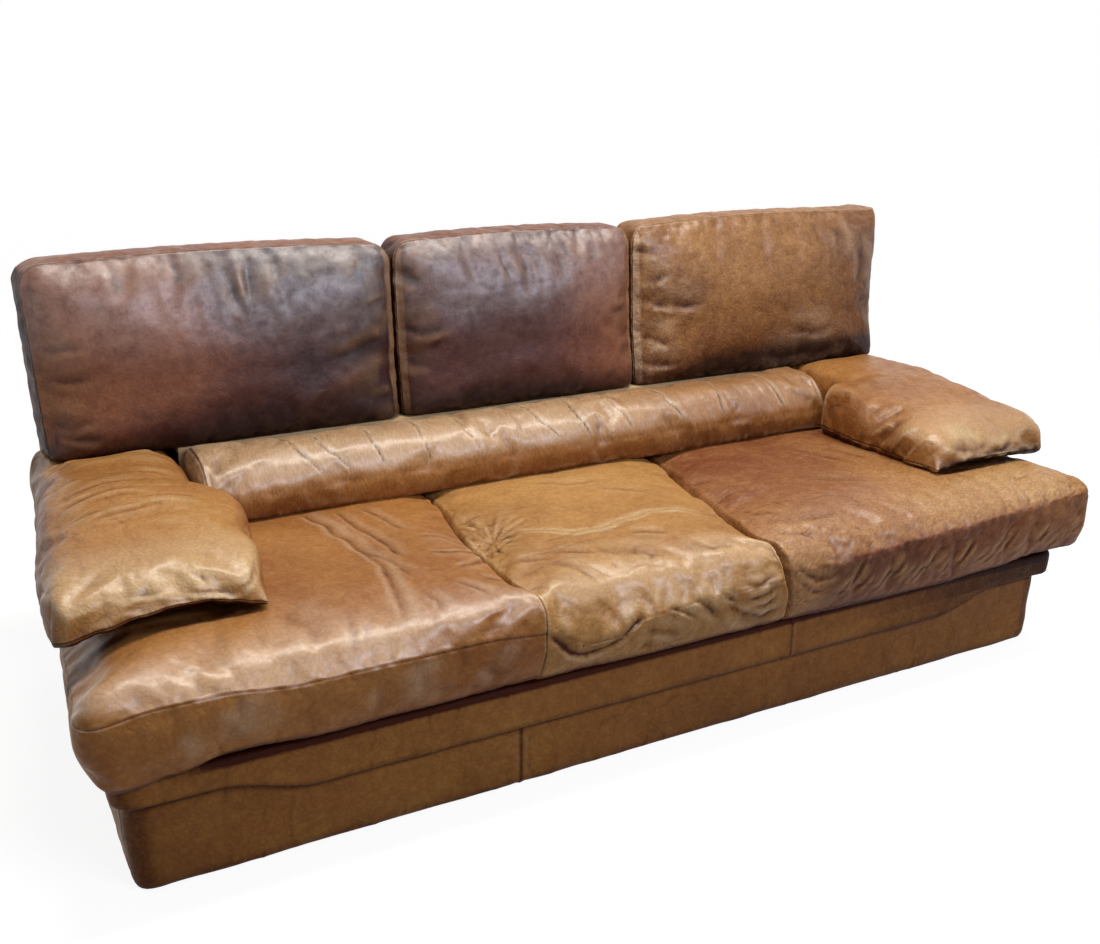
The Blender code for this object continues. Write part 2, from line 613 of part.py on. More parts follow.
def joint_creep(x, depth):
    """How far the front of the seats' joints has crept sideways, shared out over both neighbours."""
    creep = -LEFT_JOINT_CREEP if x < 0 else RIGHT_JOINT_CREEP
    outer = (SEAT_HALF - abs(x)) / (SEAT_HALF - JOINT_X)
    share = min(abs(x) / JOINT_X, max(0.0, outer), 1.0)
    return creep * share * (1 - min(1.0, max(0.0, depth / SEAT_DEPTH)))


def seat_cushions(leather):
    gap = CUSHION_JOINT / 2
    spans = {"left": (-SEAT_HALF, -JOINT_X - gap), "middle": (-JOINT_X + gap, JOINT_X - gap),
             "right": (JOINT_X + gap, SEAT_HALF)}
    for place, x in spans.items():
        shape = pillow(x, (0.0, SEAT_DEPTH), (SEAT_BOTTOM, SEAT_TOP), SEAT_RADIUS, top_crown=SEAT_CROWN)
        for vert in shape.verts:
            depth = vert.co.y + OVERALL_DEPTH / 2
            low = 1 - smooth_step(SEAT_BOTTOM, SEAT_BOTTOM + SEAT_LIP_HEIGHT, vert.co.z)
            at_front = 1 - smooth_step(SEAT_LIP_END - SEAT_LIP_RAMP, SEAT_LIP_END, depth)
            vert.co.z -= SEAT_LIP * low * at_front
            vert.co.y += SEAT_UNDERCUT * low * at_front
            outer = max(0.0, abs(vert.co.x) - JOINT_X) / (SEAT_HALF - JOINT_X)
            narrowed = SEAT_NARROWING * outer * max(0.0, depth) / SEAT_DEPTH
            vert.co.x += joint_creep(vert.co.x, depth) - math.copysign(narrowed, vert.co.x)
        finish(f"seat_cushion_{place}", shape, leather, 60)


def arm_cushions(leather):
    """Wedge cushions, thicker at the back, on the outer ends of the seat cushions."""
    front, back = ARM_SETBACK, BACK_RAIL_FRONT - ARM_REAR_GAP
    roll_front = LUMBAR_FRONT - FIT_GAP - ROLL_DEPTH
    high = ARM_BOTTOM + ARM_HEIGHT_BACK
    slope_end = front + (back - front) * ARM_SLOPE_SHARE
    for hand, sign in (("left", -1), ("right", 1)):
        x = sorted((sign * (ARM_INNER + ARM_FLARE / 2), sign * SEAT_HALF))
        shape = pillow(x, (front, back), (ARM_BOTTOM, high), ARM_RADIUS)
        for vert in shape.verts:
            depth = vert.co.y + OVERALL_DEPTH / 2
            thickened = smooth_step(front, slope_end, depth)
            share = (ARM_HEIGHT_FRONT + (ARM_HEIGHT_BACK - ARM_HEIGHT_FRONT) * thickened) / ARM_HEIGHT_BACK
            vert.co.z = ARM_BOTTOM + (vert.co.z - ARM_BOTTOM) * share
            inner = min(1.0, 1 - (abs(vert.co.x) - ARM_INNER) / ARM_WIDTH)
            rising = smooth_step(front, front + ARM_BULGE_RUN, depth)
            bulge = rising * (1 - smooth_step(roll_front - ARM_RADIUS, roll_front, depth))
            vert.co.x -= sign * inner * (ARM_FLARE * (1 - thickened) + ARM_BULGE * bulge * inner)
            along = smooth_step(front, back, depth)
            vert.co.x -= sign * ARM_NARROWING * along * (1 - inner)
        finish(f"arm_cushion_{hand}", shape, leather, 60)


def lumbar_roll(leather):
    """The long roll in the small of the back, in front of the lumbar board."""
    back = LUMBAR_FRONT - FIT_GAP
    half = ROLL_HALF - ROLL_END_GAP
    level = (ARM_BOTTOM, ARM_BOTTOM + ROLL_HEIGHT)
    shape = pillow((-half, half), (back - ROLL_DEPTH, back), level, ROLL_RADIUS)
    for vert in shape.verts:
        height = (vert.co.z - ARM_BOTTOM) / ROLL_HEIGHT
        forward = max(0.0, (y_at(back) - vert.co.y) / ROLL_DEPTH)
        vert.co.y += ROLL_LEAN * forward * smooth_step(ROLL_LEAN_START, 1.0, height)
    finish("lumbar_roll", shape, leather, 60)


def back_cushions(leather):
    """Box cushions that stand on the shelf and the arm cushions and lean on the back frame."""
    gap = CUSHION_JOINT / 2
    half = SEAT_HALF - BACK_CUSHION_INSET
    spans = {"left": (-half, -JOINT_X - gap), "middle": (-JOINT_X + gap, JOINT_X - gap),
             "right": (JOINT_X + gap, half)}
    level = (BACK_CUSHION_BOTTOM, BACK_CUSHION_BOTTOM + BACK_CUSHION_HEIGHT)
    for place, x in spans.items():
        shape = pillow(x, (BACK_CUSHION_FRONT, BACK_CUSHION_BACK), level, BACK_RADIUS,
                       BACK_FACE_CROWN, BACK_TOP_CROWN)
        for vert in shape.verts:
            height = (vert.co.z - level[0]) / BACK_CUSHION_HEIGHT
            forward = (y_at(BACK_CUSHION_BACK) - vert.co.y) / BACK_CUSHION_DEPTH
            vert.co.y += BACK_CUSHION_LEAN * height * forward
        finish(f"back_cushion_{place}", shape, leather, 60)


def main():
    clear_scene()
    timber = material("beech", "c8a578", 0.65)
    plywood = material("birch_plywood", "d2b58a", 0.6)
    hardboard = material("hardboard", "8a6443", 0.7)
    webbing = material("elastic_webbing", "3a3733", 0.8)
    cloth = material("black_cloth", "1d1c1b", 0.9)
    plastic = material("black_plastic", "181818", 0.45)
    leathers = {
        "plinth": material("plinth_leather", "6e4a27", 0.45),
        "apron": material("apron_leather", "7c5a30", 0.45),
        "seat": material("seat_leather", "a8743f", 0.4),
        "arm": material("arm_leather", "b07c45", 0.4),
        "roll": material("roll_leather", "b28048", 0.35),
        "back": material("back_leather", "6a452f", 0.38),
    }
    plinth(timber, plastic, cloth)
    plinth_covers(leathers["plinth"])
    seat_frame(timber)
    aprons(leathers["apron"])
    webbing_deck(webbing, cloth)
    back_frame(timber, plywood, hardboard)
    back_wings(leathers["plinth"])
    outside_back(leathers["plinth"])
    seat_cushions(leathers["seat"])
    arm_cushions(leathers["arm"])
    lumbar_roll(leathers["roll"])
    back_cushions(leathers["back"])


main()
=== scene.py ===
import math
import time

import bmesh
import bpy
import numpy as np
from mathutils import Matrix, Vector


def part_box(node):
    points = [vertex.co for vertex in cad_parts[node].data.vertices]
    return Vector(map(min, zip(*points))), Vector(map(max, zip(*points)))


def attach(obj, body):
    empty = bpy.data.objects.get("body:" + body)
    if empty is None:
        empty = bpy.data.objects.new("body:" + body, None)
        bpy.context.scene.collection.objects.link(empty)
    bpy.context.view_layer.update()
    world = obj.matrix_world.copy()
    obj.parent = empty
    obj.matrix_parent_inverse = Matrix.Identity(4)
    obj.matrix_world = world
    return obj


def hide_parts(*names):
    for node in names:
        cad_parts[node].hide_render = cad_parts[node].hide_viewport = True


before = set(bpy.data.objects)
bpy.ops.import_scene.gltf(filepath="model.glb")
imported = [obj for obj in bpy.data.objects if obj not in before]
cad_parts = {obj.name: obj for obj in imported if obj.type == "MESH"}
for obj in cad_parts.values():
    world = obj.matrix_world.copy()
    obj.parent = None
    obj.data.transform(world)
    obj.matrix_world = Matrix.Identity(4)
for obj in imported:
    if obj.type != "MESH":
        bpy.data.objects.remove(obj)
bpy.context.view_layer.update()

started = time.time()
scene = bpy.context.scene
scene.view_settings.view_transform = "Standard"


def report(stage):
    print(f"{stage} ({time.time() - started:.0f} s)", flush=True)


# Camera, at the place and angle the photograph was taken from

view = {
    "place": (-1.17964, -2.09355, 1.27651),
    "yaw": -0.48765,
    "pitch": -0.32804,
    "roll": 0.0093047,
    "lens": 39.05,
    "shift": (0.0066, -0.0062),  # the photograph is cropped a little off its middle
}


def makeCamera():
    yaw, pitch, roll = view["yaw"], view["pitch"], view["roll"]
    ahead = Vector((-math.sin(yaw) * math.cos(pitch), math.cos(yaw) * math.cos(pitch), math.sin(pitch)))
    level = ahead.cross(Vector((0, 0, 1))).normalized()
    upright = level.cross(ahead)
    right = level * math.cos(roll) + upright * math.sin(roll)
    up = upright * math.cos(roll) - level * math.sin(roll)
    data = bpy.data.cameras.new("Camera")
    data.sensor_fit = "HORIZONTAL"
    data.sensor_width = 36
    data.lens = view["lens"]
    data.shift_x, data.shift_y = view["shift"]
    camera = bpy.data.objects.new("Camera", data)
    turned = Matrix((right, up, -ahead)).transposed().to_4x4()
    camera.matrix_world = Matrix.Translation(view["place"]) @ turned
    scene.collection.objects.link(camera)
    scene.camera = camera


makeCamera()


# Materials

def linearColour(hexValue):
    parts = [int(hexValue[i:i + 2], 16) / 255 for i in (0, 2, 4)]
    return (*[p / 12.92 if p <= 0.04045 else ((p + 0.055) / 1.055) ** 2.4 for p in parts], 1.0)


def addNode(tree, kind, inputs=None, **settings):  # inputs hold values or the sockets that feed them
    node = tree.nodes.new("ShaderNode" + kind)
    for name, value in settings.items():
        setattr(node, name, value)
    for name, value in (inputs or {}).items():
        if isinstance(value, bpy.types.NodeSocket):
            tree.links.new(value, node.inputs[name])
        else:
            node.inputs[name].default_value = value
    return node


def newMaterial(name, **values):  # values are set on the shader's sockets, underscores for spaces
    material = bpy.data.materials.new(name)
    material.use_nodes = True
    tree = material.node_tree
    shader = next(n for n in tree.nodes if n.type == "BSDF_PRINCIPLED")
    for socket, value in values.items():
        shader.inputs[socket.replace("_", " ")].default_value = value
    coords = addNode(tree, "TexCoord").outputs["Object"]
    return material, tree, shader, coords


def ramp(tree, factor, stops):  # stops are (place, hex) or (place, grey) pairs
    node = addNode(tree, "ValToRGB", {"Fac": factor})
    points = node.color_ramp.elements
    while len(points) < len(stops):
        points.new(0.5)
    for point, (place, tone) in zip(points, stops):
        point.position = place
        point.color = linearColour(tone) if isinstance(tone, str) else (tone, tone, tone, 1)
    return node.outputs["Color"]


def mixed(tree, factor, first, second, blend="MIX"):
    node = addNode(tree, "Mix", {0: factor, 6: first, 7: second}, data_type="RGBA", blend_type=blend)
    return node.outputs[2]


def summed(tree, first, second, operation="ADD", clamp=False):
    return addNode(tree, "Math", {0: first, 1: second}, operation=operation, use_clamp=clamp).outputs[0]


def noisy(tree, vector, size, detail, roughness=0.5, **ridged):  # size in metres
    inputs = {"Vector": vector, "Scale": 1 / size, "Detail": detail, "Roughness": roughness}
    if not ridged:
        return addNode(tree, "TexNoise", inputs).outputs["Fac"]
    inputs.update({"Offset": ridged["offset"], "Gain": ridged["gain"]})
    return addNode(tree, "TexNoise", inputs, noise_type="RIDGED_MULTIFRACTAL", normalize=True).outputs["Fac"]


def bumped(tree, shader, layers):  # layers are (height, metres, strength), below zero for grooves
    normal = None
    for height, distance, strength in layers:
        inputs = {"Height": height, "Distance": abs(distance), "Strength": strength}
        if normal is not None:
            inputs["Normal"] = normal
        normal = addNode(tree, "Bump", inputs, invert=distance < 0).outputs[0]
    tree.links.new(normal, shader.inputs["Normal"])


wearShadeAndHighlightFields = ("tone", "dirt", "rub", "polish")  # attributes stored on every leather mesh: tone and grime, both with painted shade in them, pale wear with painted highlights, and polish
tonePlaces = (0.0, 0.35, 0.65, 1.0)  # where a leather's four tones stand, from worn pale to dark
leatherCommon = {
    "patch": 0.46,        # how far big patches of dye drift in tone
    "mottle": 0.48,       # and small ones
    "speck": 0.15,
    "grime": "6a3f28",    # tints what lies in creases and seams, and the painted shade
    "rubbed": "d9bea0",   # where edges and ridges are worn pale, and the painted highlights
    "wearAndHighlightShare": 0.55,
    "lineShare": 0.16,    # of the dirt that lies in fine creases
    "roughness": (0.40, 0.56),
    "specular": 0.14,
    "coat": 1.0,          # wax polish, where the leather is polished by use
    "shine": 0.36,        # roughness of that polish
    "gloss": 1.85,        # and how much it reflects, as an index of refraction
    "foldSize": 38,       # mm between soft folds
    "foldDepth": 0.0011,
    "foldStretch": (1.0, 1.0, 1.0),  # how many times longer the folds are along each axis
    "foldTurn": 0.0,      # degrees that they are turned by, seen from the front
    "grainSize": 4.0,     # mm; real grain is 1 to 2 mm, drawn coarser so that it shows
    "grainDepth": 0.00016,
}


def leatherMaterial(name, tones, **changes):
    # Waxed, pigmented cowhide: broken gloss, uneven dye, dark creases and pale rubbed ridges, with painted
    # shade and painted highlights mixed into the colour
    look = {**leatherCommon, **changes}
    material, tree, shader, coords = newMaterial(name, IOR=1.5, Specular_IOR_Level=look["specular"],
                                                 Coat_Roughness=look["shine"], Coat_IOR=look["gloss"])
    drift = addNode(tree, "TexNoise", {"Vector": coords, "Scale": 9.0, "Detail": 2.0}).outputs["Color"]
    bent = addNode(tree, "VectorMath", {0: drift, "Scale": 0.03}, operation="SCALE").outputs[0]
    warped = addNode(tree, "VectorMath", {0: coords, 1: bent}, operation="ADD").outputs[0]
    turn = (0, math.radians(look["foldTurn"]), 0)
    stretched = addNode(tree, "Mapping", {"Vector": warped, "Rotation": turn, "Scale": look["foldStretch"]},
                        vector_type="TEXTURE").outputs[0]
    patches = noisy(tree, warped, 0.150, 4.0)
    mottles = noisy(tree, warped, 0.024, 8.0, 0.70)
    specks = noisy(tree, coords, 0.0045, 3.0, 0.7)
    foldSize = look["foldSize"] / 1000
    folds = noisy(tree, stretched, foldSize, 4.0, 0.55, offset=0.85, gain=2.2)
    creases = noisy(tree, stretched, foldSize * 0.303, 3.0, 0.5, offset=0.8, gain=2.5)
    tone, dirt, rub, polish = (addNode(tree, "Attribute", attribute_name=field).outputs["Fac"]
                               for field in wearShadeAndHighlightFields)

    factor = tone
    for field, amount in ((patches, look["patch"]), (mottles, look["mottle"]), (specks, look["speck"])):
        centred = summed(tree, field, 0.5, "SUBTRACT")
        factor = summed(tree, factor, summed(tree, centred, amount, "MULTIPLY"), clamp=True)
    colour = ramp(tree, factor, list(zip(tonePlaces, tones.split())))
    # pale wear and painted highlights lighten the colour; grime and painted shade darken it
    broken = summed(tree, rub, mottles, "MULTIPLY")
    wearAndHighlightAmount = summed(tree, broken, 2.4 * look["wearAndHighlightShare"], "MULTIPLY", clamp=True)
    colour = mixed(tree, wearAndHighlightAmount, colour, linearColour(look["rubbed"]))
    lines = summed(tree, ramp(tree, creases, ((0.35, 0.0), (0.9, 1.0))), look["lineShare"], "MULTIPLY")
    darker = mixed(tree, 1.0, colour, linearColour(look["grime"]), "MULTIPLY")
    colour = mixed(tree, summed(tree, dirt, lines, clamp=True), colour, darker)
    tree.links.new(colour, shader.inputs["Base Color"])

    grain = addNode(tree, "TexVoronoi", {"Vector": coords, "Scale": 1000 / look["grainSize"],
                                         "Smoothness": 0.6}, feature="SMOOTH_F1").outputs["Distance"]
    bumped(tree, shader, ((folds, -look["foldDepth"], 0.55), (creases, -look["foldDepth"] * 0.50, 0.75),
                          (mottles, 0.0004, 0.50), (specks, 0.0002, 0.40), (grain, look["grainDepth"], 0.7)))
    low, high = look["roughness"]
    uneven = summed(tree, mottles, summed(tree, dirt, 0.35, "MULTIPLY"))
    rough = addNode(tree, "MapRange", {"Value": uneven, "From Min": 0.35, "From Max": 0.75,
                                       "To Min": low, "To Max": high})
    tree.links.new(rough.outputs[0], shader.inputs["Roughness"])
    waxed = addNode(tree, "MapRange", {"Value": mottles, "From Min": 0.40, "From Max": 0.70,
                                       "To Min": look["coat"], "To Max": 0.4 * look["coat"]}).outputs[0]
    tree.links.new(summed(tree, polish, waxed, "MULTIPLY"), shader.inputs["Coat Weight"])
    return material


threadScale = 3.18  # threads are drawn this many times as wide as the real ones, so that they show


def plainMaterial(name, stops, size, stretch=(1.0, 1.0, 1.0), roughness=0.6, weave=None):
    # Timber, cloth and plastic: one drawn-out noise and, where it is woven, threads each way, weave in mm
    material, tree, shader, coords = newMaterial(name, Roughness=roughness)
    along = addNode(tree, "Mapping", {"Vector": coords, "Scale": stretch}).outputs[0]
    field = noisy(tree, along, size, 5.0)
    if weave:
        threads = {"Vector": coords, "Scale": math.pi * 100 / weave / threadScale, "Distortion": 0.4,
                   "Detail": 1.0}
        rows = [addNode(tree, "TexWave", threads, bands_direction=way).outputs["Fac"] for way in ("X", "Y")]
        woven = summed(tree, rows[0], rows[1], "MULTIPLY")
        field = summed(tree, woven, summed(tree, field, 0.5, "MULTIPLY"))
    tree.links.new(ramp(tree, field, stops), shader.inputs["Base Color"])
    bumped(tree, shader, ((field, 0.0003, 0.6),))
    return material


leathers = {
    # Sat on and faded: orange tan, golden in the middle, redder on the right
    "seatLeft": leatherMaterial("waxedLeatherOrangeTan", "cc9a5a b17a41 90582b 4f2811"),
    "seatMiddle": leatherMaterial("waxedLeatherGoldenTan", "d3a96a bc8b50 996837 543017",
                                  rubbed="dcc094", foldDepth=0.0014),
    "seatRight": leatherMaterial("waxedLeatherRedTan", "c69b62 a67242 81492a 3d1d0e", rubbed="b98a5a",
                                 foldSize=24, foldStretch=(3.5, 1.0, 1.0), foldTurn=-42.0,
                                 foldDepth=0.0018, lineShare=0.30),
    "arms": leatherMaterial("waxedLeatherArmTan", "cd9f5e b27c42 8c582c 462410", rubbed="dfc190",
                            foldSize=30, foldDepth=0.0014),
    "roll": leatherMaterial("waxedLeatherAmber", "ca9c60 a8743f 825027 40230c", rubbed="dcc7a6",
                            foldSize=22, foldStretch=(1.0, 2.6, 2.6), foldDepth=0.0012, lineShare=0.20),
    # Less worn: dark brown on the left and in the middle, tan on the right
    "backDark": leatherMaterial("waxedLeatherDarkBrown", "a37047 7e4d34 553129 2a1215", rubbed="a98460",
                                foldSize=30, foldDepth=0.0007, shine=0.42),
    "backTan": leatherMaterial("waxedLeatherBackTan", "c2965c a0713f 764a28 2c140a", foldSize=24,
                               foldDepth=0.0014, mottle=0.60, lineShare=0.24),
    # Outer covers of the plinth, the apron and the back: duller, with no polish left
    "plinth": leatherMaterial("waxedLeatherOliveBrown", "b08142 94602f 784a26 3a1f0f", coat=0.0,
                              specular=0.10, roughness=(0.44, 0.60), mottle=0.60),
}
report("materials")


# Measuring and bending meshes with numpy

noiseTable = np.random.default_rng(11).random(4096) * 2 - 1


def lattice(points, size, seed=0):  # smooth noise from -1 to 1, size in metres or a size for each axis
    cell = points / np.asarray(size, float) + seed * 37.17 + 500
    base = np.floor(cell).astype(np.int64)
    part = cell - base
    part = part * part * part * (part * (part * 6 - 15) + 10)
    total = np.zeros(len(points))
    for corner in range(8):
        step = np.array([corner & 1, corner >> 1 & 1, corner >> 2 & 1])
        at = base + step
        index = (at[:, 0] * 73856093 ^ at[:, 1] * 19349663 ^ at[:, 2] * 83492791) & 4095
        total += np.prod(np.where(step, part, 1 - part), axis=1) * noiseTable[index]
    return total


def lattice2(first, second, size, seed):  # the same over two made-up coordinates
    return lattice(np.stack([first, second, first * 0], axis=1), size, seed)


def cloudy(points, size, seed=0):  # two layers of noise
    size = np.ones(3) * size
    finer = lattice(points[:, [1, 2, 0]], size[[1, 2, 0]] * 0.47, seed + 5)
    return lattice(points, size, seed) * 0.7 + finer * 0.4


def foldLines(points, size, seed=0, width=0.10):  # thin winding lines, 1 on the line and 0 away from it
    drift = np.stack([lattice(points, 0.06, seed + 20 + i) for i in range(3)], axis=1) * 0.012
    return np.exp(-(lattice(points + drift, size, seed) / width) ** 2)


def smoothStep(low, high, value):
    share = np.clip((value - low) / (high - low), 0, 1)
    return share * share * (3 - 2 * share)


def bell(value, width):
    return np.exp(-(value / width) ** 2)


def through(value, knots):  # a smooth curve through (place, height) pairs
    places, heights = np.array(knots, float).T
    index = np.clip(np.searchsorted(places, value) - 1, 0, len(places) - 2)
    share = smoothStep(places[index], places[index + 1], value)
    return heights[index] + (heights[index + 1] - heights[index]) * share


def readField(items, key, width, kind=np.float64):
    flat = np.empty(len(items) * width, dtype=kind)
    items.foreach_get(key, flat)
    return flat.reshape(-1, width)


def readPoints(mesh):
    return readField(mesh.vertices, "co", 3)


def readEdges(mesh):
    return readField(mesh.edges, "vertices", 2, np.int32)


def writePoints(mesh, points):
    mesh.vertices.foreach_set("co", np.ascontiguousarray(points).ravel())
    mesh.update()


def readNormals(mesh):
    return readField(mesh.vertex_normals, "vector", 3)


def readUnit(mesh):  # each point's place in its block, from -1 to 1 on each axis
    return readField(mesh.attributes["unit"].data, "vector", 3, np.float32).astype(float)


def storeValues(mesh, name, values):
    kind, key = ("FLOAT", "value") if values.ndim == 1 else ("FLOAT_VECTOR", "vector")
    layer = mesh.attributes.new(name, kind, "POINT")
    layer.data.foreach_set(key, np.ascontiguousarray(values, dtype=np.float32).ravel())


def smoothed(values, edges, rounds, share=0.6):
    count = np.bincount(edges.ravel(), minlength=len(values)).astype(float)[:, None]
    columns = values.reshape(len(values), -1)
    for _ in range(rounds):
        total = np.stack([np.bincount(edges[:, 0], column[edges[:, 1]], len(column))
                          + np.bincount(edges[:, 1], column[edges[:, 0]], len(column))
                          for column in columns.T], axis=1)
        columns = columns + (total / count - columns) * share
    return columns.reshape(values.shape)


# Closed, rounded blocks with their rows where they are wanted

def placesAlong(*stops):  # (place, spacing) pairs and a last place
    places = [stops[0][0]]
    ends = [stop[0] if isinstance(stop, tuple) else stop for stop in stops]
    for (start, spacing), end in zip(stops, ends[1:]):
        count = max(1, round((end - start) / spacing))
        places += [start + (end - start) * (i + 1) / count for i in range(count)]
    return np.array(places)


def pieceName(node):  # plinth_cover_front becomes plinthCoverFront
    first, *rest = node.split("_")
    return first + "".join(word.capitalize() for word in rest)


def gridBlock(name, grid):  # grid holds the places of its rows along X, Y and Z
    shape = bmesh.new()
    bmesh.ops.create_cube(shape, size=1.0)
    for axis, places in enumerate(grid):
        edges = [e for e in shape.edges if abs(e.verts[0].co[axis] - e.verts[1].co[axis]) > 0.9]
        if len(places) > 2:
            bmesh.ops.subdivide_edges(shape, edges=edges, cuts=len(places) - 2, use_grid_fill=True)
    mesh = bpy.data.meshes.new(name)
    shape.to_mesh(mesh)
    shape.free()
    even = readPoints(mesh)
    points = np.empty_like(even)
    for axis, places in enumerate(grid):
        points[:, axis] = places[np.round((even[:, axis] + 0.5) * (len(places) - 1)).astype(int)]
    low, high = points.min(axis=0), points.max(axis=0)
    storeValues(mesh, "unit", (points - low) / (high - low) * 2 - 1)
    writePoints(mesh, points)
    piece = bpy.data.objects.new(name, mesh)
    scene.collection.objects.link(piece)
    return piece


def rounded(points, radii):  # radii are (low, high) pairs for X, Y and Z
    low, high = points.min(axis=0), points.max(axis=0)
    lowReach, highReach = np.array(radii, float).T
    reach = np.where(points > (low + high) / 2, highReach, lowReach)
    core = np.clip(points, low + lowReach, high - highReach)
    off = (points - core) / reach
    length = np.linalg.norm(off, axis=1, keepdims=True)
    length[length == 0] = 1
    return core + off / length * reach


clothCommon = {
    "stretch": -0.03,   # negative: the leather is cut larger than its filling
    "pressure": 1.8,
    "bending": 0.8,
    "steps": 20,
    "cap": 0.016,       # furthest that a point may move
    "keep": 0.35,       # share of the overall swelling that is kept, beside the wrinkles
}


def settle(piece, held, **changes):
    # The leather is blown up against its seams, then its wrinkles are kept
    mesh = piece.data
    plan = {**clothCommon, **changes}
    before = readPoints(mesh)
    group = piece.vertex_groups.new(name="seams")
    for weight in np.unique(np.round(held[held > 0], 2)):
        chosen = np.nonzero(np.round(held, 2) == weight)[0]
        group.add([int(i) for i in chosen], float(weight), "REPLACE")
    cloth = piece.modifiers.new("Cloth", "CLOTH")
    settings = cloth.settings
    settings.quality = 5
    settings.mass = 0.3
    settings.tension_stiffness = settings.compression_stiffness = 15
    settings.shear_stiffness = 5
    settings.bending_stiffness = plan["bending"]
    settings.tension_damping = settings.compression_damping = settings.shear_damping = 5
    settings.bending_damping = 0.5
    settings.use_pressure = True
    settings.uniform_pressure_force = plan["pressure"]
    settings.effector_weights.gravity = 0
    settings.vertex_group_mass = "seams"
    settings.pin_stiffness = 1
    settings.shrink_min = plan["stretch"]
    cloth.collision_settings.use_collision = False
    cloth.point_cache.frame_start = 1
    cloth.point_cache.frame_end = plan["steps"] + 1
    for step in range(plan["steps"]):
        scene.frame_set(1 + step)
    graph = bpy.context.evaluated_depsgraph_get()
    blown = bpy.data.meshes.new_from_object(piece.evaluated_get(graph))
    moved = readPoints(blown) - before
    bpy.data.meshes.remove(blown)
    piece.modifiers.clear()
    piece.vertex_groups.clear()
    scene.frame_set(1)
    broad = smoothed(moved, readEdges(mesh), 40)
    moved = moved - broad * (1 - plan["keep"])
    length = np.linalg.norm(moved, axis=1, keepdims=True) + 1e-9
    writePoints(mesh, before + moved * np.tanh(length / plan["cap"]) * plan["cap"] / length)


def bake(piece):  # applies its modifiers
    graph = bpy.context.evaluated_depsgraph_get()
    made = bpy.data.meshes.new_from_object(piece.evaluated_get(graph))
    piece.modifiers.clear()
    piece.vertex_groups.clear()
    old = piece.data
    piece.data = made
    bpy.data.meshes.remove(old)
    made.name = piece.name


def refined(piece):
    # One level of subdivision, so that creases can be cut into the finer mesh
    levels = piece.modifiers.new("Finer", "SUBSURF")
    levels.levels = levels.render_levels = 1
    bake(piece)


def thinned(piece, hidden):
    # Sides that lie against another piece and never show are left with fewer triangles
    group = piece.vertex_groups.new(name="hidden")
    group.add(np.nonzero(hidden)[0].tolist(), 1.0, "REPLACE")
    triangles = sum(len(face.vertices) - 2 for face in piece.data.polygons)
    thinner = piece.modifiers.new("Thinner", "DECIMATE")
    thinner.ratio = 1 - 0.85 * 2 * np.count_nonzero(hidden) / triangles
    thinner.vertex_group = group.name
    bake(piece)


def begin(piece):
    mesh = piece.data
    points = readPoints(mesh)
    count = len(points)
    return {"piece": piece, "mesh": mesh, "points": points, "normals": readNormals(mesh),
            "unit": readUnit(mesh), "edges": readEdges(mesh), "shift": np.zeros(count),
            "tone": np.full(count, 0.4), "dirt": np.zeros(count), "rub": np.zeros(count), "polish": None,
            "hidden": np.zeros(count, bool)}


def onRow(unit, places, axis, wanted):  # the points of one row, all the way round its block
    value = places[np.argmin(abs(places - wanted))]
    share = (value - places[0]) / (places[-1] - places[0]) * 2 - 1
    others = [i for i in range(3) if i != axis]
    return (abs(unit[:, axis] - share) < 1e-3) & (np.max(np.abs(unit[:, others]), axis=1) > 0.999)


def cushion(node, grid, radii, shape, clear, faces, seams, **cloth):
    # faces and seams are (axis, side or place, how firmly it is held); clear keeps it off its neighbours
    piece = gridBlock(pieceName(node), grid)
    mesh = piece.data
    unit = readUnit(mesh)
    writePoints(mesh, shape(rounded(readPoints(mesh), radii), unit))
    held = np.zeros(len(unit))
    for axis, side, weight in faces:
        held[unit[:, axis] * side > 0.999] = weight
    for i, (axis, place, weight) in enumerate(seams):
        row = onRow(unit, grid[axis], axis, place)
        held[row] = weight
        storeValues(mesh, f"seam{i}", row.astype(float))
    settle(piece, held, **cloth)
    writePoints(mesh, clear(readPoints(mesh)))
    refined(piece)
    leather = begin(piece)
    leather["clear"] = clear
    for axis, side, weight in faces:
        leather["hidden"] |= leather["unit"][:, axis] * side > 0.997
    leather["seams"] = []
    for i in range(len(seams)):
        layer = piece.data.attributes[f"seam{i}"]
        values = readField(layer.data, "value", 1, np.float32)[:, 0].astype(float)
        piece.data.attributes.remove(layer)
        leather["seams"].append(smoothStep(0.55, 0.95, values))
    return leather


def apply(leather):
    leather["points"] = leather["points"] + leather["normals"] * leather["shift"][:, None]
    leather["shift"] = np.zeros(len(leather["points"]))
    writePoints(leather["mesh"], leather["points"])
    leather["normals"] = readNormals(leather["mesh"])


def complete(leather, material, nodes):
    # Wear and dirt follow the shape: hollows gather grime, ridges are rubbed pale
    mesh, piece = leather["mesh"], leather["piece"]
    if "clear" in leather:
        leather["points"] = leather["clear"](leather["points"])
    writePoints(mesh, leather["points"])
    normals = readNormals(mesh)
    for rounds, reach, share in ((3, 0.0007, 0.32), (14, 0.0028, 0.26)):
        around = smoothed(leather["points"], leather["edges"], rounds)
        hollow = np.einsum("ij,ij->i", around - leather["points"], normals) / reach
        leather["dirt"] = leather["dirt"] + share * np.clip(hollow - 0.15, 0, 1)
        leather["rub"] = leather["rub"] + share * np.clip(-hollow - 0.35, 0, 1)
    if leather["polish"] is None:
        leather["polish"] = smoothStep(0.05, 0.50, normals[:, 2])
    for name in wearShadeAndHighlightFields:
        storeValues(mesh, name, np.clip(leather[name], 0, 1))
    mesh.attributes.remove(mesh.attributes["unit"])
    thinned(piece, leather["hidden"])
    finishPiece(piece, leathers[material], nodes)


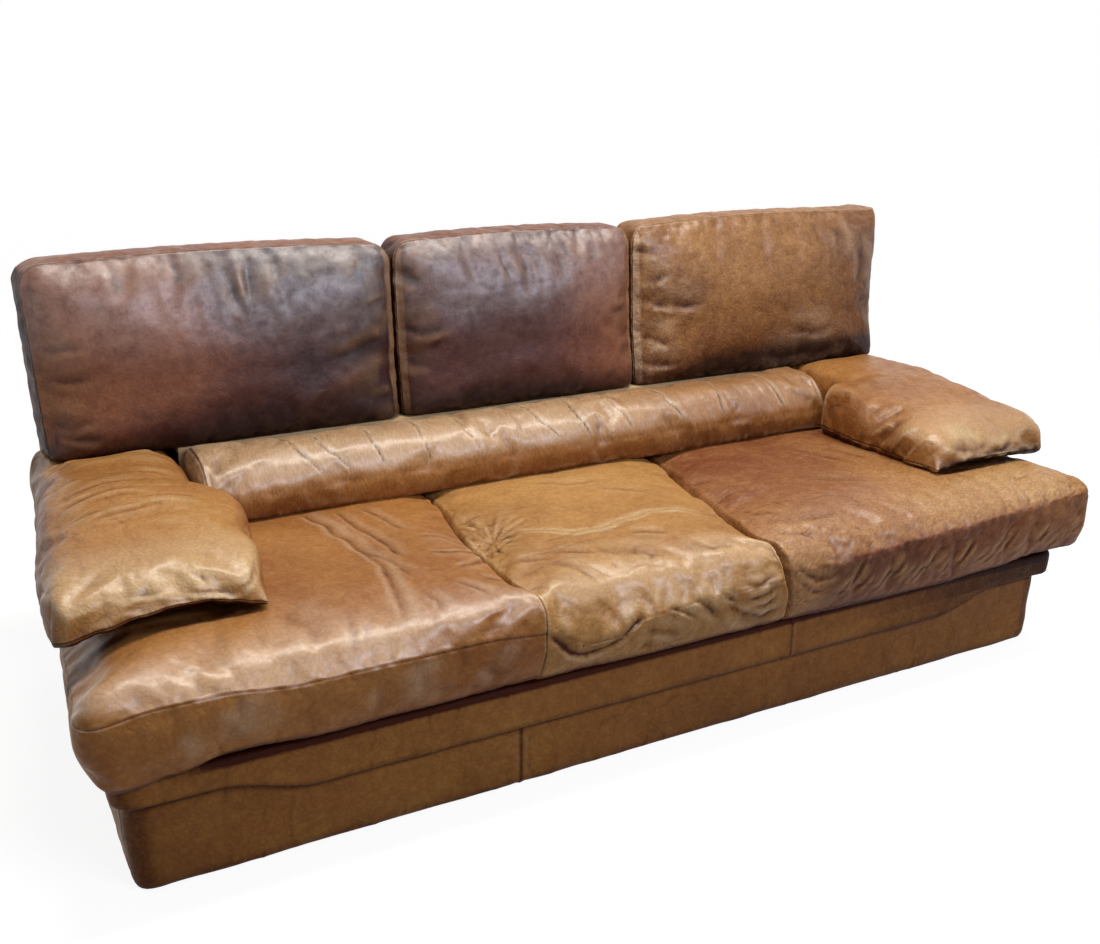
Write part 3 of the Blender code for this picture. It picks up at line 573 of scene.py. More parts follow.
def finishPiece(piece, material, nodes):
    piece.data.materials.clear()
    piece.data.materials.append(material)
    piece.data.shade_smooth()
    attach(piece, "root")
    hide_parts(*nodes)
    triangles = sum(len(face.vertices) - 2 for face in piece.data.polygons)
    report(f"{piece.name}: {triangles} triangles")


# Creases, seams and stains

def facingUp(normals):
    return normals[:, 2]


def facingFront(normals):
    return -normals[:, 1]


top, front = [0, 1], [0, 2]
facings = {"top": (top, facingUp), "front": (front, facingFront)}


def strokeField(flat, path, width):
    # For points on a flat view of the leather: closeness to a crease's line, its side and place along it
    path = np.array(path, float)
    lengths = np.linalg.norm(path[1:] - path[:-1], axis=1)
    total, done = lengths.sum(), 0.0
    best = np.full(len(flat), 1e9)
    along = np.zeros(len(flat))
    side = np.zeros(len(flat))
    for start, end, length in zip(path, path[1:], lengths):
        way = (end - start) / length
        offset = flat - start
        place = np.clip(offset @ way, 0, length)
        away = offset - place[:, None] * way
        distance = np.linalg.norm(away, axis=1)
        nearer = distance < best
        best = np.where(nearer, distance, best)
        along = np.where(nearer, (done + place) / total, along)
        side = np.where(nearer, np.sign(away[:, 0] * way[1] - away[:, 1] * way[0]), side)
        done += length
    return best / width, side, along


strokeCommon = {
    "lips": 0.5,     # height of the swelling beside it
    "ends": 0.35,    # share of its length over which it fades out at each end
    "dirt": 0.30,
    "rub": 0.3,
    "step": 0.0,     # mm by which what lies left of its path hangs over what lies right of it
    "lean": 0.35,    # steep on one side, easy on the other
    "waver": 0.006,
}
strokeWidth, strokeDepth = 1.45e-3, 0.8e-3  # metres on the leather for one of a stroke's width and depth


def crease(leather, facing, width, depth, path, **changes):
    # A soft fold along a path in metres, or a ridge where the depth is negative
    plan = {**strokeCommon, **changes}
    width, depth = width * strokeWidth, depth * strokeDepth
    points, normals = leather["points"], leather["normals"]
    axes, turned = facings[facing]
    flat = points[:, axes]
    margin = width * 8 + plan["waver"]
    low, high = np.min(path, axis=0) - margin, np.max(path, axis=0) + margin
    near = np.all((flat > low) & (flat < high), axis=1) & (turned(normals) > 0.02)
    index = np.nonzero(near)[0]
    if not len(index):
        return
    chosen = points[index]
    drift = np.stack([lattice(chosen, 0.045, 61), lattice(chosen, 0.045, 62)], axis=1) * plan["waver"]
    distance, side, along = strokeField(flat[index] + drift, path, width)
    distance = distance * (1 + plan["lean"] * side) * (1 + 0.25 * lattice(chosen, 0.03, 64))
    fade = smoothStep(0.02, 0.4, turned(normals[index])) * (0.85 + 0.3 * lattice(chosen, 0.025, 63))
    if plan["ends"] > 0:
        fade = fade * smoothStep(0, plan["ends"], along) * smoothStep(0, plan["ends"], 1 - along)
    profile = plan["lips"] * bell(distance - 2.2, 1.2) - np.exp(-distance ** 1.6)
    leather["shift"][index] += fade * depth * profile
    overhang = fade * plan["step"] / 1000 * np.tanh(side * distance / 0.35)
    leather["shift"][index] -= overhang * np.exp(-distance / 2.5)
    for name, line in (("dirt", bell(distance, 0.7)), ("rub", bell(distance - 1.7, 1.0))):
        leather[name][index] = np.maximum(leather[name][index], fade * plan[name] * line)


def creases(leather, facing, strokes, **common):
    # strokes are (width, depth, path) with changes, if any, after them, and their paths are in mm
    for width, depth, path, *changes in strokes:
        own = changes[0] if changes else {}
        crease(leather, facing, width, depth, np.array(path) / 1000, **{**common, **own})


def seamLine(leather, mask, depth=0.0020, puff=0.0012, dirt=0.6):
    # The sewn seam: a tight groove with the leather swelling beside it
    near = np.clip(smoothed(mask, leather["edges"], 1, 1.0) * 2.2, 0, 1)
    wide = np.clip(smoothed(mask, leather["edges"], 6, 0.8) * 3.5, 0, 1)
    leather["shift"] += -depth * np.maximum(mask, near * 0.45) + puff * wide
    leather["dirt"] = np.maximum(leather["dirt"], dirt * np.maximum(mask, near * 0.35))


def sewnLine(leather, distance, outer=1.0, dirt=0.7):
    # The same where no row of the mesh follows the seam: distance is how far each point lies from it
    groove = bell(distance, 0.004) * outer
    leather["shift"] += 0.0006 * bell(distance - 0.010, 0.006) * outer - 0.0016 * groove
    leather["dirt"] = np.maximum(leather["dirt"], dirt * groove)


def weather(leather, swell, size, seed, where=1.0, lineSize=None, lineDepth=0.0010):
    # Slack, uneven filling and the fine winding creases of old leather
    points = leather["points"]
    leather["shift"] += swell * cloudy(points, size, seed) * where
    if lineSize is not None:
        patches = smoothStep(0.0, 0.4, lattice(points, 0.2, seed + 2) + 0.22)
        lines = foldLines(points, lineSize, seed + 1) * patches
        leather["shift"] -= lineDepth * lines * where
        leather["dirt"] += 0.08 * lines * where


def blots(leather, facing, *stains):
    # Soft-edged patches, (centre, size, amount, turn), of darker or, below zero, lighter leather
    for centre, size, amount, *turn in stains:
        flat = leather["points"][:, facings[facing][0]] - np.array(centre)
        angle = math.radians(turn[0] if turn else 0.0)
        across = flat[:, 0] * math.cos(angle) + flat[:, 1] * math.sin(angle)
        down = flat[:, 1] * math.cos(angle) - flat[:, 0] * math.sin(angle)
        leather["tone"] += amount * bell(across, size[0]) * bell(down, size[1])


# Seat cushions

seatPlan = {
    "cell": 0.0095,
    "depth": (-0.4625, 0.2015),
    "level": (0.2302, 0.4000),
    "seam": 0.353,        # height of the seam along the top of the front panel
    "lowSeam": 0.247,
    "crown": 0.012,
    "edge": 0.056,        # rounding between the top and the front panel
    "jointEdge": 0.005,   # and at the joints
    "undercut": 0.014,    # the front panel slopes back towards its foot
    "bulge": 0.006,
    "lip": 0.010,         # its foot hangs over the apron
    "narrowing": 0.045,   # of the outer cushions, from their front to their back
    "jointGap": 0.0007,
    "leftJoint": ((-0.47, -0.303), (-0.42, -0.312), (-0.36, -0.325), (-0.18, -0.321), (0.07, -0.290),
                  (0.21, -0.290)),
    "rightJoint": ((-0.47, 0.222), (-0.43, 0.212), (-0.38, 0.196), (-0.15, 0.230), (0.08, 0.272),
                   (0.21, 0.286)),
    "rightSlant": 0.17,   # the right joint runs outwards again down the front
    "foremost": -0.472,   # what follows keeps the leather off its neighbours
    "rearmost": 0.2355,
    "apronFace": -0.4195,
    "lowest": 0.2,        # in front of the apron
    "highest": 0.424,
    "loaded": 0.0142,     # lower by this under the arms and the roll
}

# joints are the curves of a seat's ends, None where an end is free. tuck draws a free end in at its foot,
# shoulder where the arm rests on it, and endEdge rounds it. drop takes the crown down towards the left and
# the right end. drift and lift are the rise of the front's seam and of its foot, and sharp fills out the
# edge over the seam. seam is its depth, puff and dirt, gathers are depth, size, slant and seed, lumps those
# of the front, those of the top and a seed, and lines the size of the fine creases. top and front are
# creases seen from above and from the front. worn rubs the crest of the front pale and paints a highlight
# on it, and shine polishes it.
seats = {
    "left": {
        "span": (-1.0745, -0.291), "joints": (None, "leftJoint"),
        "tuck": 0.022, "shoulder": 0.030, "endEdge": 0.056, "drop": (2.5, 0.1),
        "cloth": {"stretch": -0.016, "pressure": 1.6, "bending": 1.2},
        "drift": ((-1.08, -0.004), (-0.95, 0.010), (-0.87, 0.010), (-0.73, -0.004), (-0.60, -0.004),
                  (-0.42, -0.005), (-0.29, -0.015)),
        "lift": ((-1.08, -0.010), (-1.00, -0.004), (-0.94, 0.003), (-0.84, 0.020), (-0.69, 0.010),
                 (-0.54, 0.012), (-0.29, 0.014)),
        "seam": (0.0016, 0.0012, 0.45),
        "sharp": ((-1.08, 0.0), (-0.60, 0.002), (-0.38, 0.018), (-0.28, 0.018)),
        "gathers": (0.0010, 0.016, 0.35, 4), "lumps": (0.0022, 0.0014, 3), "lines": (0.10, 0.12, 0.05),
        "lineDepth": 0.0007,
        "top": (
            (5, 2.8, ((-575, 85), (-550, -7), (-540, -96), (-528, -165), (-523, -242), (-529, -316),
                      (-536, -380), (-548, -430)), {"dirt": 0.30, "ends": 0.10, "rub": 0.5}),
            (5, 2.6, ((-530, -150), (-510, -209), (-494, -266), (-480, -325)), {"dirt": 0.3}),
            (4, 2.4, ((-510, 60), (-505, 0), (-498, -49), (-484, -112), (-475, -170), (-468, -235)),
             {"dirt": 0.38, "ends": 0.15}),
            (4, 2.0, ((-455, 60), (-445, 10), (-435, -50), (-425, -110)), {"ends": 0.2}),
            (4, 2.2, ((-320, -185), (-365, -150), (-410, -135)), {"ends": 0.2}),
            (4, 2.2, ((-320, -215), (-370, -225), (-425, -215)), {"ends": 0.2}),
            (4, 2.2, ((-322, -250), (-365, -285), (-400, -300)), {"ends": 0.2}),
            # a dark band with no fold: painted shadow under the arm's front
            (16, 0.0, ((-1075, -290), (-950, -285), (-780, -285)), {"dirt": 0.9, "ends": 0.06, "rub": 0}),
            (6, 2.2, ((-628, -370), (-633, -400), (-640, -430), (-646, -455))),
            (5, 2.2, ((-606, -395), (-612, -425), (-622, -455))),
            (4, 1.2, ((-490, -355), (-476, -392), (-490, -430))),
            (4, 1.6, ((-432, -345), (-412, -368), (-392, -405), (-385, -430))),
            (4, 1.6, ((-372, -352), (-352, -350), (-332, -360))),
            (12, 1.6, ((-740, -330), (-700, -390), (-690, -435))),
        ),
        "front": (
            (16, 2.0, ((-900, 330), (-885, 295), (-880, 260)), {"dirt": 0.05}),
            (14, 1.8, ((-600, 330), (-590, 300), (-595, 265)), {"dirt": 0.05}),
            (9, 1.6, ((-420, 325), (-405, 300), (-385, 280)), {"dirt": 0.12}),
        ),
        "tone": 0.47, "frontTone": 0.12, "worn": 0.46, "shine": 0.75,
        "topStains": (((-0.50, -0.30), (0.20, 0.13), 0.10, 20), ((-0.86, -0.42), (0.24, 0.09), -0.16),
                      ((-0.60, 0.00), (0.22, 0.12), -0.04)),
        "frontStains": (((-1.05, 0.25), (0.12, 0.09), 0.10), ((-0.38, 0.29), (0.10, 0.06), 0.08)),
    },
    "middle": {
        "span": (-0.299, 0.293), "joints": ("leftJoint", "rightJoint"),
        "tuck": 0.0, "shoulder": 0.0, "endEdge": 0.0, "drop": (0.2, 0.6),
        "cloth": {"stretch": -0.017, "pressure": 1.6, "bending": 0.8},
        "drift": ((-0.31, -0.016), (-0.27, -0.030), (-0.21, -0.052), (-0.16, -0.048), (-0.09, -0.027),
                  (0.03, -0.020), (0.24, -0.018)),
        "lift": ((-0.31, 0.012), (0.0, 0.007), (0.30, 0.010)),
        "seam": (0.0008, 0.0006, 0.15), "sharp": ((-0.34, 0.016), (-0.22, 0.012), (-0.10, 0.0), (0.30, 0.0)),
        "gathers": (0.0016, 0.015, -0.5, 7), "lumps": (0.0020, 0.0020, 23), "lines": (0.09, 0.045, 0.05),
        "lineDepth": 0.0011,
        "top": (
            (3, -1.8, ((-259, -177), (-191, -222), (-128, -265), (-58, -259), (55, -226), (130, -257),
                       (174, -298)), {"rub": 1.0, "dirt": 0.0, "ends": 0.2}),
            (6, 3.0, ((-55, -300), (-10, -312), (45, -330))),
            (6, 2.4, ((-220, -310), (-180, -330), (-130, -345))),
            (8, 2.2, ((-160, -330), (-80, -370), (0, -395))),
            (7, 2.2, ((20, -380), (80, -400), (140, -405))),
            (8, 2.6, ((-250, -350), (-200, -390), (-170, -440))),
            (5, 2.0, ((-296, -318), (-262, -322), (-225, -335))),
            (6, 1.4, ((20, -50), (70, -100), (130, -140))),
            (6, 1.4, ((-100, 40), (-20, -10), (80, -30))),
        ),
        "front": (
            # a flap hanging over the front panel; the slit under it is darkened with grime and painted shade
            (5, 5.0, ((-300, 338), (-279, 316), (-250, 294), (-219, 280), (-189, 286), (-147, 302),
                      (-96, 331)), {"step": 4.5, "dirt": 0.9, "ends": 0.12, "rub": 0.0}),
            (4, 3.4, ((212, 341), (181, 344), (151, 338), (110, 340)), {"ends": 0.4}),
            (4, 3.4, ((216, 322), (190, 322), (150, 310), (105, 316)), {"ends": 0.4}),
            (4, 3.2, ((214, 304), (195, 301), (169, 288), (120, 294)), {"ends": 0.4}),
            (3, 2.2, ((-60, 345), (-20, 322), (10, 296)), {"rub": 0.6}),
            (3, 2.0, ((-10, 340), (30, 318), (55, 290)), {"rub": 0.6}),
            (3, 2.0, ((50, 345), (80, 322), (110, 312)), {"rub": 0.6}),
            (6, 4.6, ((225, 280), (204, 272), (167, 263), (122, 281), (66, 318)), {"step": 2.5}),
            (7, 2.4, ((0, 330), (40, 305), (75, 285))),
            (7, 2.0, ((-100, 300), (-50, 285), (-20, 265))),
        ),
        "tone": 0.47, "frontTone": 0.11, "worn": 0.35, "shine": 0.6,
        "topStains": (((0.02, 0.02), (0.25, 0.12), -0.16), ((-0.10, -0.34), (0.20, 0.06), 0.08)),
        "frontStains": (((0.18, 0.30), (0.07, 0.07), 0.10),),
    },
    "right": {
        "span": (0.297, 1.0815), "joints": ("rightJoint", None),
        "tuck": 0.001, "shoulder": 0.0, "endEdge": 0.030, "drop": (0.8, 0.0),
        "cloth": {"stretch": -0.024, "pressure": 1.6, "bending": 0.9},
        "drift": ((0.19, 0.002), (0.28, -0.010), (0.40, -0.006), (0.67, 0.006), (0.90, 0.018), (1.02, 0.022),
                  (1.09, 0.018)),
        "lift": ((0.19, 0.006), (0.29, 0.006), (0.54, -0.001), (0.68, -0.001), (0.83, 0.004), (0.95, 0.016),
                 (1.05, 0.014)),
        "seam": (0.0006, 0.0006, 0.10), "sharp": ((0.20, 0.0), (0.60, 0.006), (1.08, 0.006)),
        "gathers": (0.0016, 0.013, -0.7, 17), "lumps": (0.0018, 0.0022, 43), "lines": (0.07, 0.06, 0.05),
        "lineDepth": 0.0010,
        "top": (
            (9, 3.0, ((225, -350), (290, -372), (370, -380), (440, -370))),
            (6, 3.2, ((225, -395), (270, -412), (330, -418))),
            (6, 2.4, ((235, -300), (270, -320), (300, -345))),
            # a dark band with no fold: painted shadow under the arm's front
            (16, 0.0, ((740, -290), (900, -285), (1050, -285)), {"dirt": 0.9, "ends": 0.06, "rub": 0}),
            (10, 2.0, ((560, -20), (600, -100), (630, -180))),
            (9, 2.0, ((630, -40), (660, -120), (680, -200))),
            (10, 1.8, ((450, -200), (520, -250), (600, -280))),
        ),
        "front": (
            (4, 2.4, ((230, 368), (258, 345), (291, 322), (323, 320), (358, 332)), {"dirt": 0.3}),
            (3, 1.4, ((234, 338), (262, 318), (290, 301), (320, 292)), {"dirt": 0.2}),
            (3, 1.2, ((238, 310), (262, 285), (296, 275)), {"dirt": 0.2}),
            (5, 1.6, ((300, 372), (330, 355), (370, 350)), {"dirt": 0.2}),
        ),
        "tone": 0.45, "frontTone": 0.40, "worn": 0.25, "shine": 0.45,
        "topStains": (((0.40, -0.06), (0.28, 0.22), 0.16, -30), ((0.95, -0.34), (0.34, 0.24), -0.26),
                      ((0.60, -0.40), (0.26, 0.07), -0.14)),
        "frontStains": (((1.00, 0.33), (0.10, 0.08), -0.12), ((0.27, 0.33), (0.07, 0.07), -0.14)),
    },
}


def jointAt(points, side):
    down = np.clip(0.36 - points[:, 2], 0, 0.13)
    slant = seatPlan["rightSlant"] * down * smoothStep(-0.40, -0.44, points[:, 1])
    return through(points[:, 1], seatPlan[side]) + (slant if side == "rightJoint" else 0)


def seatBlock(place):
    plan, own = seatPlan, seats[place]
    cell, seam = plan["cell"], plan["seam"]
    (low, high), (near, far), (foot, roof) = own["span"], plan["depth"], plan["level"]
    firstJoint, lastJoint = own["joints"]
    grid = (placesAlong((low, 0.0045 if firstJoint else cell), (low + 0.018, cell),
                        (high - 0.018, 0.0045 if lastJoint else cell), high),
            placesAlong((near, 0.008), (near + 0.064, cell), (0.10, 0.017), far),
            placesAlong((foot, 0.0085), (0.243, 0.004), (0.251, 0.010), (seam - 0.010, 0.005),
                        (seam + 0.010, 0.0085), roof))
    edges = [plan["jointEdge"] if joint else own["endEdge"] for joint in own["joints"]]

    def shape(points, unit):
        share = (points[:, 0] - low) / (high - low)
        height = (points[:, 2] - foot) / (roof - foot)
        across, along = np.clip(unit[:, 0], -1, 1), np.clip(unit[:, 1], -1, 1)
        drop = np.where(across < 0, own["drop"][0], own["drop"][1])
        crown = plan["crown"] * (1 - drop * across ** 8) * (1 - along ** 2)
        points[:, 2] += crown * smoothStep(0.4, 1.0, height)
        onFront = smoothStep(near + 0.05, near, points[:, 1])
        edge = (np.clip((points[:, 2] - roof) / plan["edge"] + 1, 0, 1)
                * np.clip((near - points[:, 1]) / plan["edge"] + 1, 0, 1))
        sharper = edge * through(points[:, 0], own["sharp"])
        points[:, 1] -= sharper
        points[:, 2] += sharper
        between = np.clip((points[:, 2] - plan["lowSeam"]) / (seam - plan["lowSeam"]), 0, 1)
        points[:, 1] -= plan["bulge"] * np.sin(between * math.pi) * onFront
        points[:, 1] += plan["undercut"] * smoothStep(seam, foot, points[:, 2]) * onFront
        lowest = smoothStep(foot + 0.08, foot, points[:, 2])
        points[:, 2] -= plan["lip"] * smoothStep(-0.4205, -0.4405, points[:, 1]) * lowest
        lift = through(points[:, 0], own["lift"]) * smoothStep(-0.385, -0.440, points[:, 1])
        points[:, 2] += lift * lowest
        outer = share if place == "right" else 1 - share
        sign = 1 if place == "right" else -1
        atEnd = np.clip(outer * 6 - 5, 0, 1)
        points[:, 0] -= sign * own["tuck"] * smoothStep(0.31, 0.225, points[:, 2]) * atEnd
        pressed = smoothStep(0.325, 0.400, points[:, 2]) * smoothStep(-0.45, -0.34, points[:, 1])
        points[:, 0] -= sign * own["shoulder"] * pressed * atEnd
        if place != "middle":
            depth = np.clip((points[:, 1] - near) / (far - near), 0, 1)
            points[:, 0] -= sign * plan["narrowing"] * outer * depth
        for side, nominal in (("leftJoint", -0.295), ("rightJoint", 0.295)):
            if side in own["joints"]:
                weight = share if own["joints"][1] == side else 1 - share
                points[:, 0] += (jointAt(points, side) - nominal) * weight
        onEnd = smoothStep(high - 0.06, high - 0.01, points[:, 0]) * smoothStep(0.15, -0.30, points[:, 1])
        around = np.maximum(onFront, onEnd if place == "right" else 0)
        points[:, 2] += through(points[:, 0], own["drift"]) * bell(points[:, 2] - seam, 0.035) * around
        return points

    def clear(points):
        # Off the deck, the apron and its neighbours, and under what lies on it
        if firstJoint:
            points[:, 0] = np.maximum(points[:, 0], jointAt(points, firstJoint) + plan["jointGap"])
        if lastJoint:
            points[:, 0] = np.minimum(points[:, 0], jointAt(points, lastJoint) - plan["jointGap"])
        points[:, 1] = np.clip(points[:, 1], plan["foremost"], plan["rearmost"])
        beforeApron = points[:, 1] < plan["apronFace"]
        points[:, 2] = np.maximum(points[:, 2], np.where(beforeApron, plan["lowest"], foot))
        underArm = smoothStep(0.735, 0.775, np.abs(points[:, 0])) * smoothStep(-0.33, -0.29, points[:, 1])
        loaded = np.maximum(underArm, smoothStep(0.09, 0.12, points[:, 1]))
        points[:, 2] = np.minimum(points[:, 2], plan["highest"] - plan["loaded"] * loaded)
        return points

    faces = [(2, -1, 0.9)] + [(0, side, 0.8) for side, joint in zip((-1, 1), own["joints"]) if joint]
    radii = [edges, (0.052, 0.03), (0.024, plan["edge"])]
    seams = ((2, seam, 0.85), (2, plan["lowSeam"], 0.8))
    return cushion(f"seat_cushion_{place}", grid, radii, shape, clear, faces, seams, **own["cloth"])


dimplePlan = {
    "centre": (-0.285, -0.205),
    "depth": 0.012,
    "radius": 0.045,
    "spokes": 0.0026,     # height of the gathers
    "reach": 0.035,       # how much longer they are towards the back
}


def dimple(leather, share):
    # A deep hollow beside the left joint, with gathers running into it like spokes
    plan = dimplePlan
    offset = leather["points"][:, :2] - np.array(plan["centre"])
    distance = np.linalg.norm(offset, axis=1)
    angle = np.arctan2(offset[:, 1], offset[:, 0])
    up = smoothStep(0.3, 0.9, facingUp(leather["normals"]))
    spokes = lattice2(angle * 0.06, distance * 0.12, 0.0068, 31)
    leather["shift"] -= plan["depth"] * share * bell(distance, plan["radius"]) * up
    towardsBack = np.clip(offset[:, 1] / np.maximum(distance, 1e-6), -0.3, 1)
    reach = plan["radius"] + plan["reach"] * towardsBack
    leather["shift"] += plan["spokes"] * share * spokes * bell(distance - 0.9 * reach, reach) * up
    leather["dirt"] += 0.45 * share * np.clip(-spokes, 0, 1) * bell(distance - 0.3 * reach, reach) * up
    leather["rub"] += 0.55 * share * np.clip(spokes, 0, 1) * bell(distance - reach, reach) * up


ridgePlan = {
    "count": 24,
    "start": 0.345,
    "spacing": 0.029,
    "sway": 0.008,
    "foot": (0.268, 0.016),   # a middle value and how far it swings to both sides, as in the next two
    "run": (0.040, 0.016),
    "rise": (0.044, 0.014),
}


def slantedRidges(leather):
    # Stretched leather: slanting creases all along the right front panel
    plan = ridgePlan

    def swung(name, turn):
        middle, swing = plan[name]
        return middle + swing * math.sin(turn)

    for i in range(plan["count"]):
        x = plan["start"] + plan["spacing"] * i + plan["sway"] * math.sin(i * 2.4)
        z = swung("foot", i * 1.7)
        run, rise = swung("run", i * 3.1), swung("rise", i * 1.3)
        path = ((x, z), (x + run * 0.5, z + rise * 0.45), (x + run, z + rise))
        crease(leather, "front", 3.5, 1.6, path, lips=0.9, dirt=0.35, rub=0.8)


def seat(place):
    own = seats[place]
    leather = seatBlock(place)
    seamLine(leather, leather["seams"][0], *own["seam"])
    creases(leather, "top", own["top"])
    creases(leather, "front", own["front"], dirt=0.5, lips=0.6, rub=0.4)
    if place == "right":
        slantedRidges(leather)
    else:
        dimple(leather, 1.0 if place == "middle" else 0.45)
    apply(leather)
    points = leather["points"]
    onFront = smoothStep(0.2, 0.8, facingFront(leather["normals"]))
    up = smoothStep(0.3, 0.9, facingUp(leather["normals"]))
    crest = smoothStep(0.20, 0.60, facingUp(leather["normals"])) * smoothStep(-0.34, -0.42, points[:, 1])
    leather["polish"] = np.maximum(0.45 * up, own["shine"] * crest) * smoothStep(1.06, 0.98, points[:, 0])
    # the crest is rubbed pale: wear and a painted highlight
    leather["rub"] += own["worn"] * bell(facingUp(leather["normals"]) - 0.75, 0.28) * crest
    leather["shift"] += 0.0008 * cloudy(points * np.array((1.0, 0.6, 0.6)), 0.010, 9) * crest
    depth, size, slant, seed = own["gathers"]
    offSeam = points[:, 2] - seatPlan["seam"] - through(points[:, 0], own["drift"])
    field = lattice2(points[:, 0] + points[:, 2] * slant, offSeam * 0.25, size, seed)
    leather["shift"] += depth * field * np.exp(-np.abs(offSeam) / 0.035)
    frontLumps, topLumps, seed = own["lumps"]
    weather(leather, frontLumps, (0.09, 0.09, 0.05), seed, onFront)
    weather(leather, topLumps, 0.095, seed + 6, up)
    weather(leather, 0.0, 0.1, seed + 8, 1.0, own["lines"], own["lineDepth"])
    if place == "right":
        # its right end face is darker
        leather["dirt"] += 0.30 * smoothStep(0.4, 0.9, leather["normals"][:, 0])
        corner = bell(points[:, 0] - 0.25, 0.075) * smoothStep(-0.34, -0.42, points[:, 1])
        leather["shift"] += 0.0012 * cloudy(points, 0.022, 41) * corner
        leather["rub"] += 0.80 * corner
    apply(leather)
    leather["tone"][:] = own["tone"]
    blots(leather, "top", *own["topStains"])
    # painted shade: the front panel below the seam is darker
    belowSeam = smoothStep(seatPlan["seam"] + 0.016, seatPlan["seam"] - 0.002,
                           points[:, 2] - through(points[:, 0], own["drift"]))
    leather["tone"] += own["frontTone"] * onFront * belowSeam
    blots(leather, "front", *own["frontStains"])
    # painted shadow at the foot of the front panel and along its lower edge
    paintedShadowAtFoot = smoothStep(0.246, 0.232, points[:, 2] - through(points[:, 0], own["lift"])) * onFront
    leather["dirt"] += 0.9 * np.maximum(paintedShadowAtFoot, smoothStep(0.238, 0.231, points[:, 2]))
    complete(leather, "seat" + place.capitalize(), [f"seat_cushion_{place}"])


for place in seats:
    seat(place)


# Back cushions

backPlan = {
    "cell": 0.0088,
    "depth": (0.2269, 0.3819),
    "level": (0.5387, 0.9106),
    "seamDepth": 0.018,   # the front seam behind the face's widest point
    "rearSeam": 0.024,
    "lean": 0.028,
    "faceCrown": 0.034,
    "drift": 0.008,       # the cushions have slid a little to the right
    "gap": 0.0015,
    "rearmost": 0.3825,
}

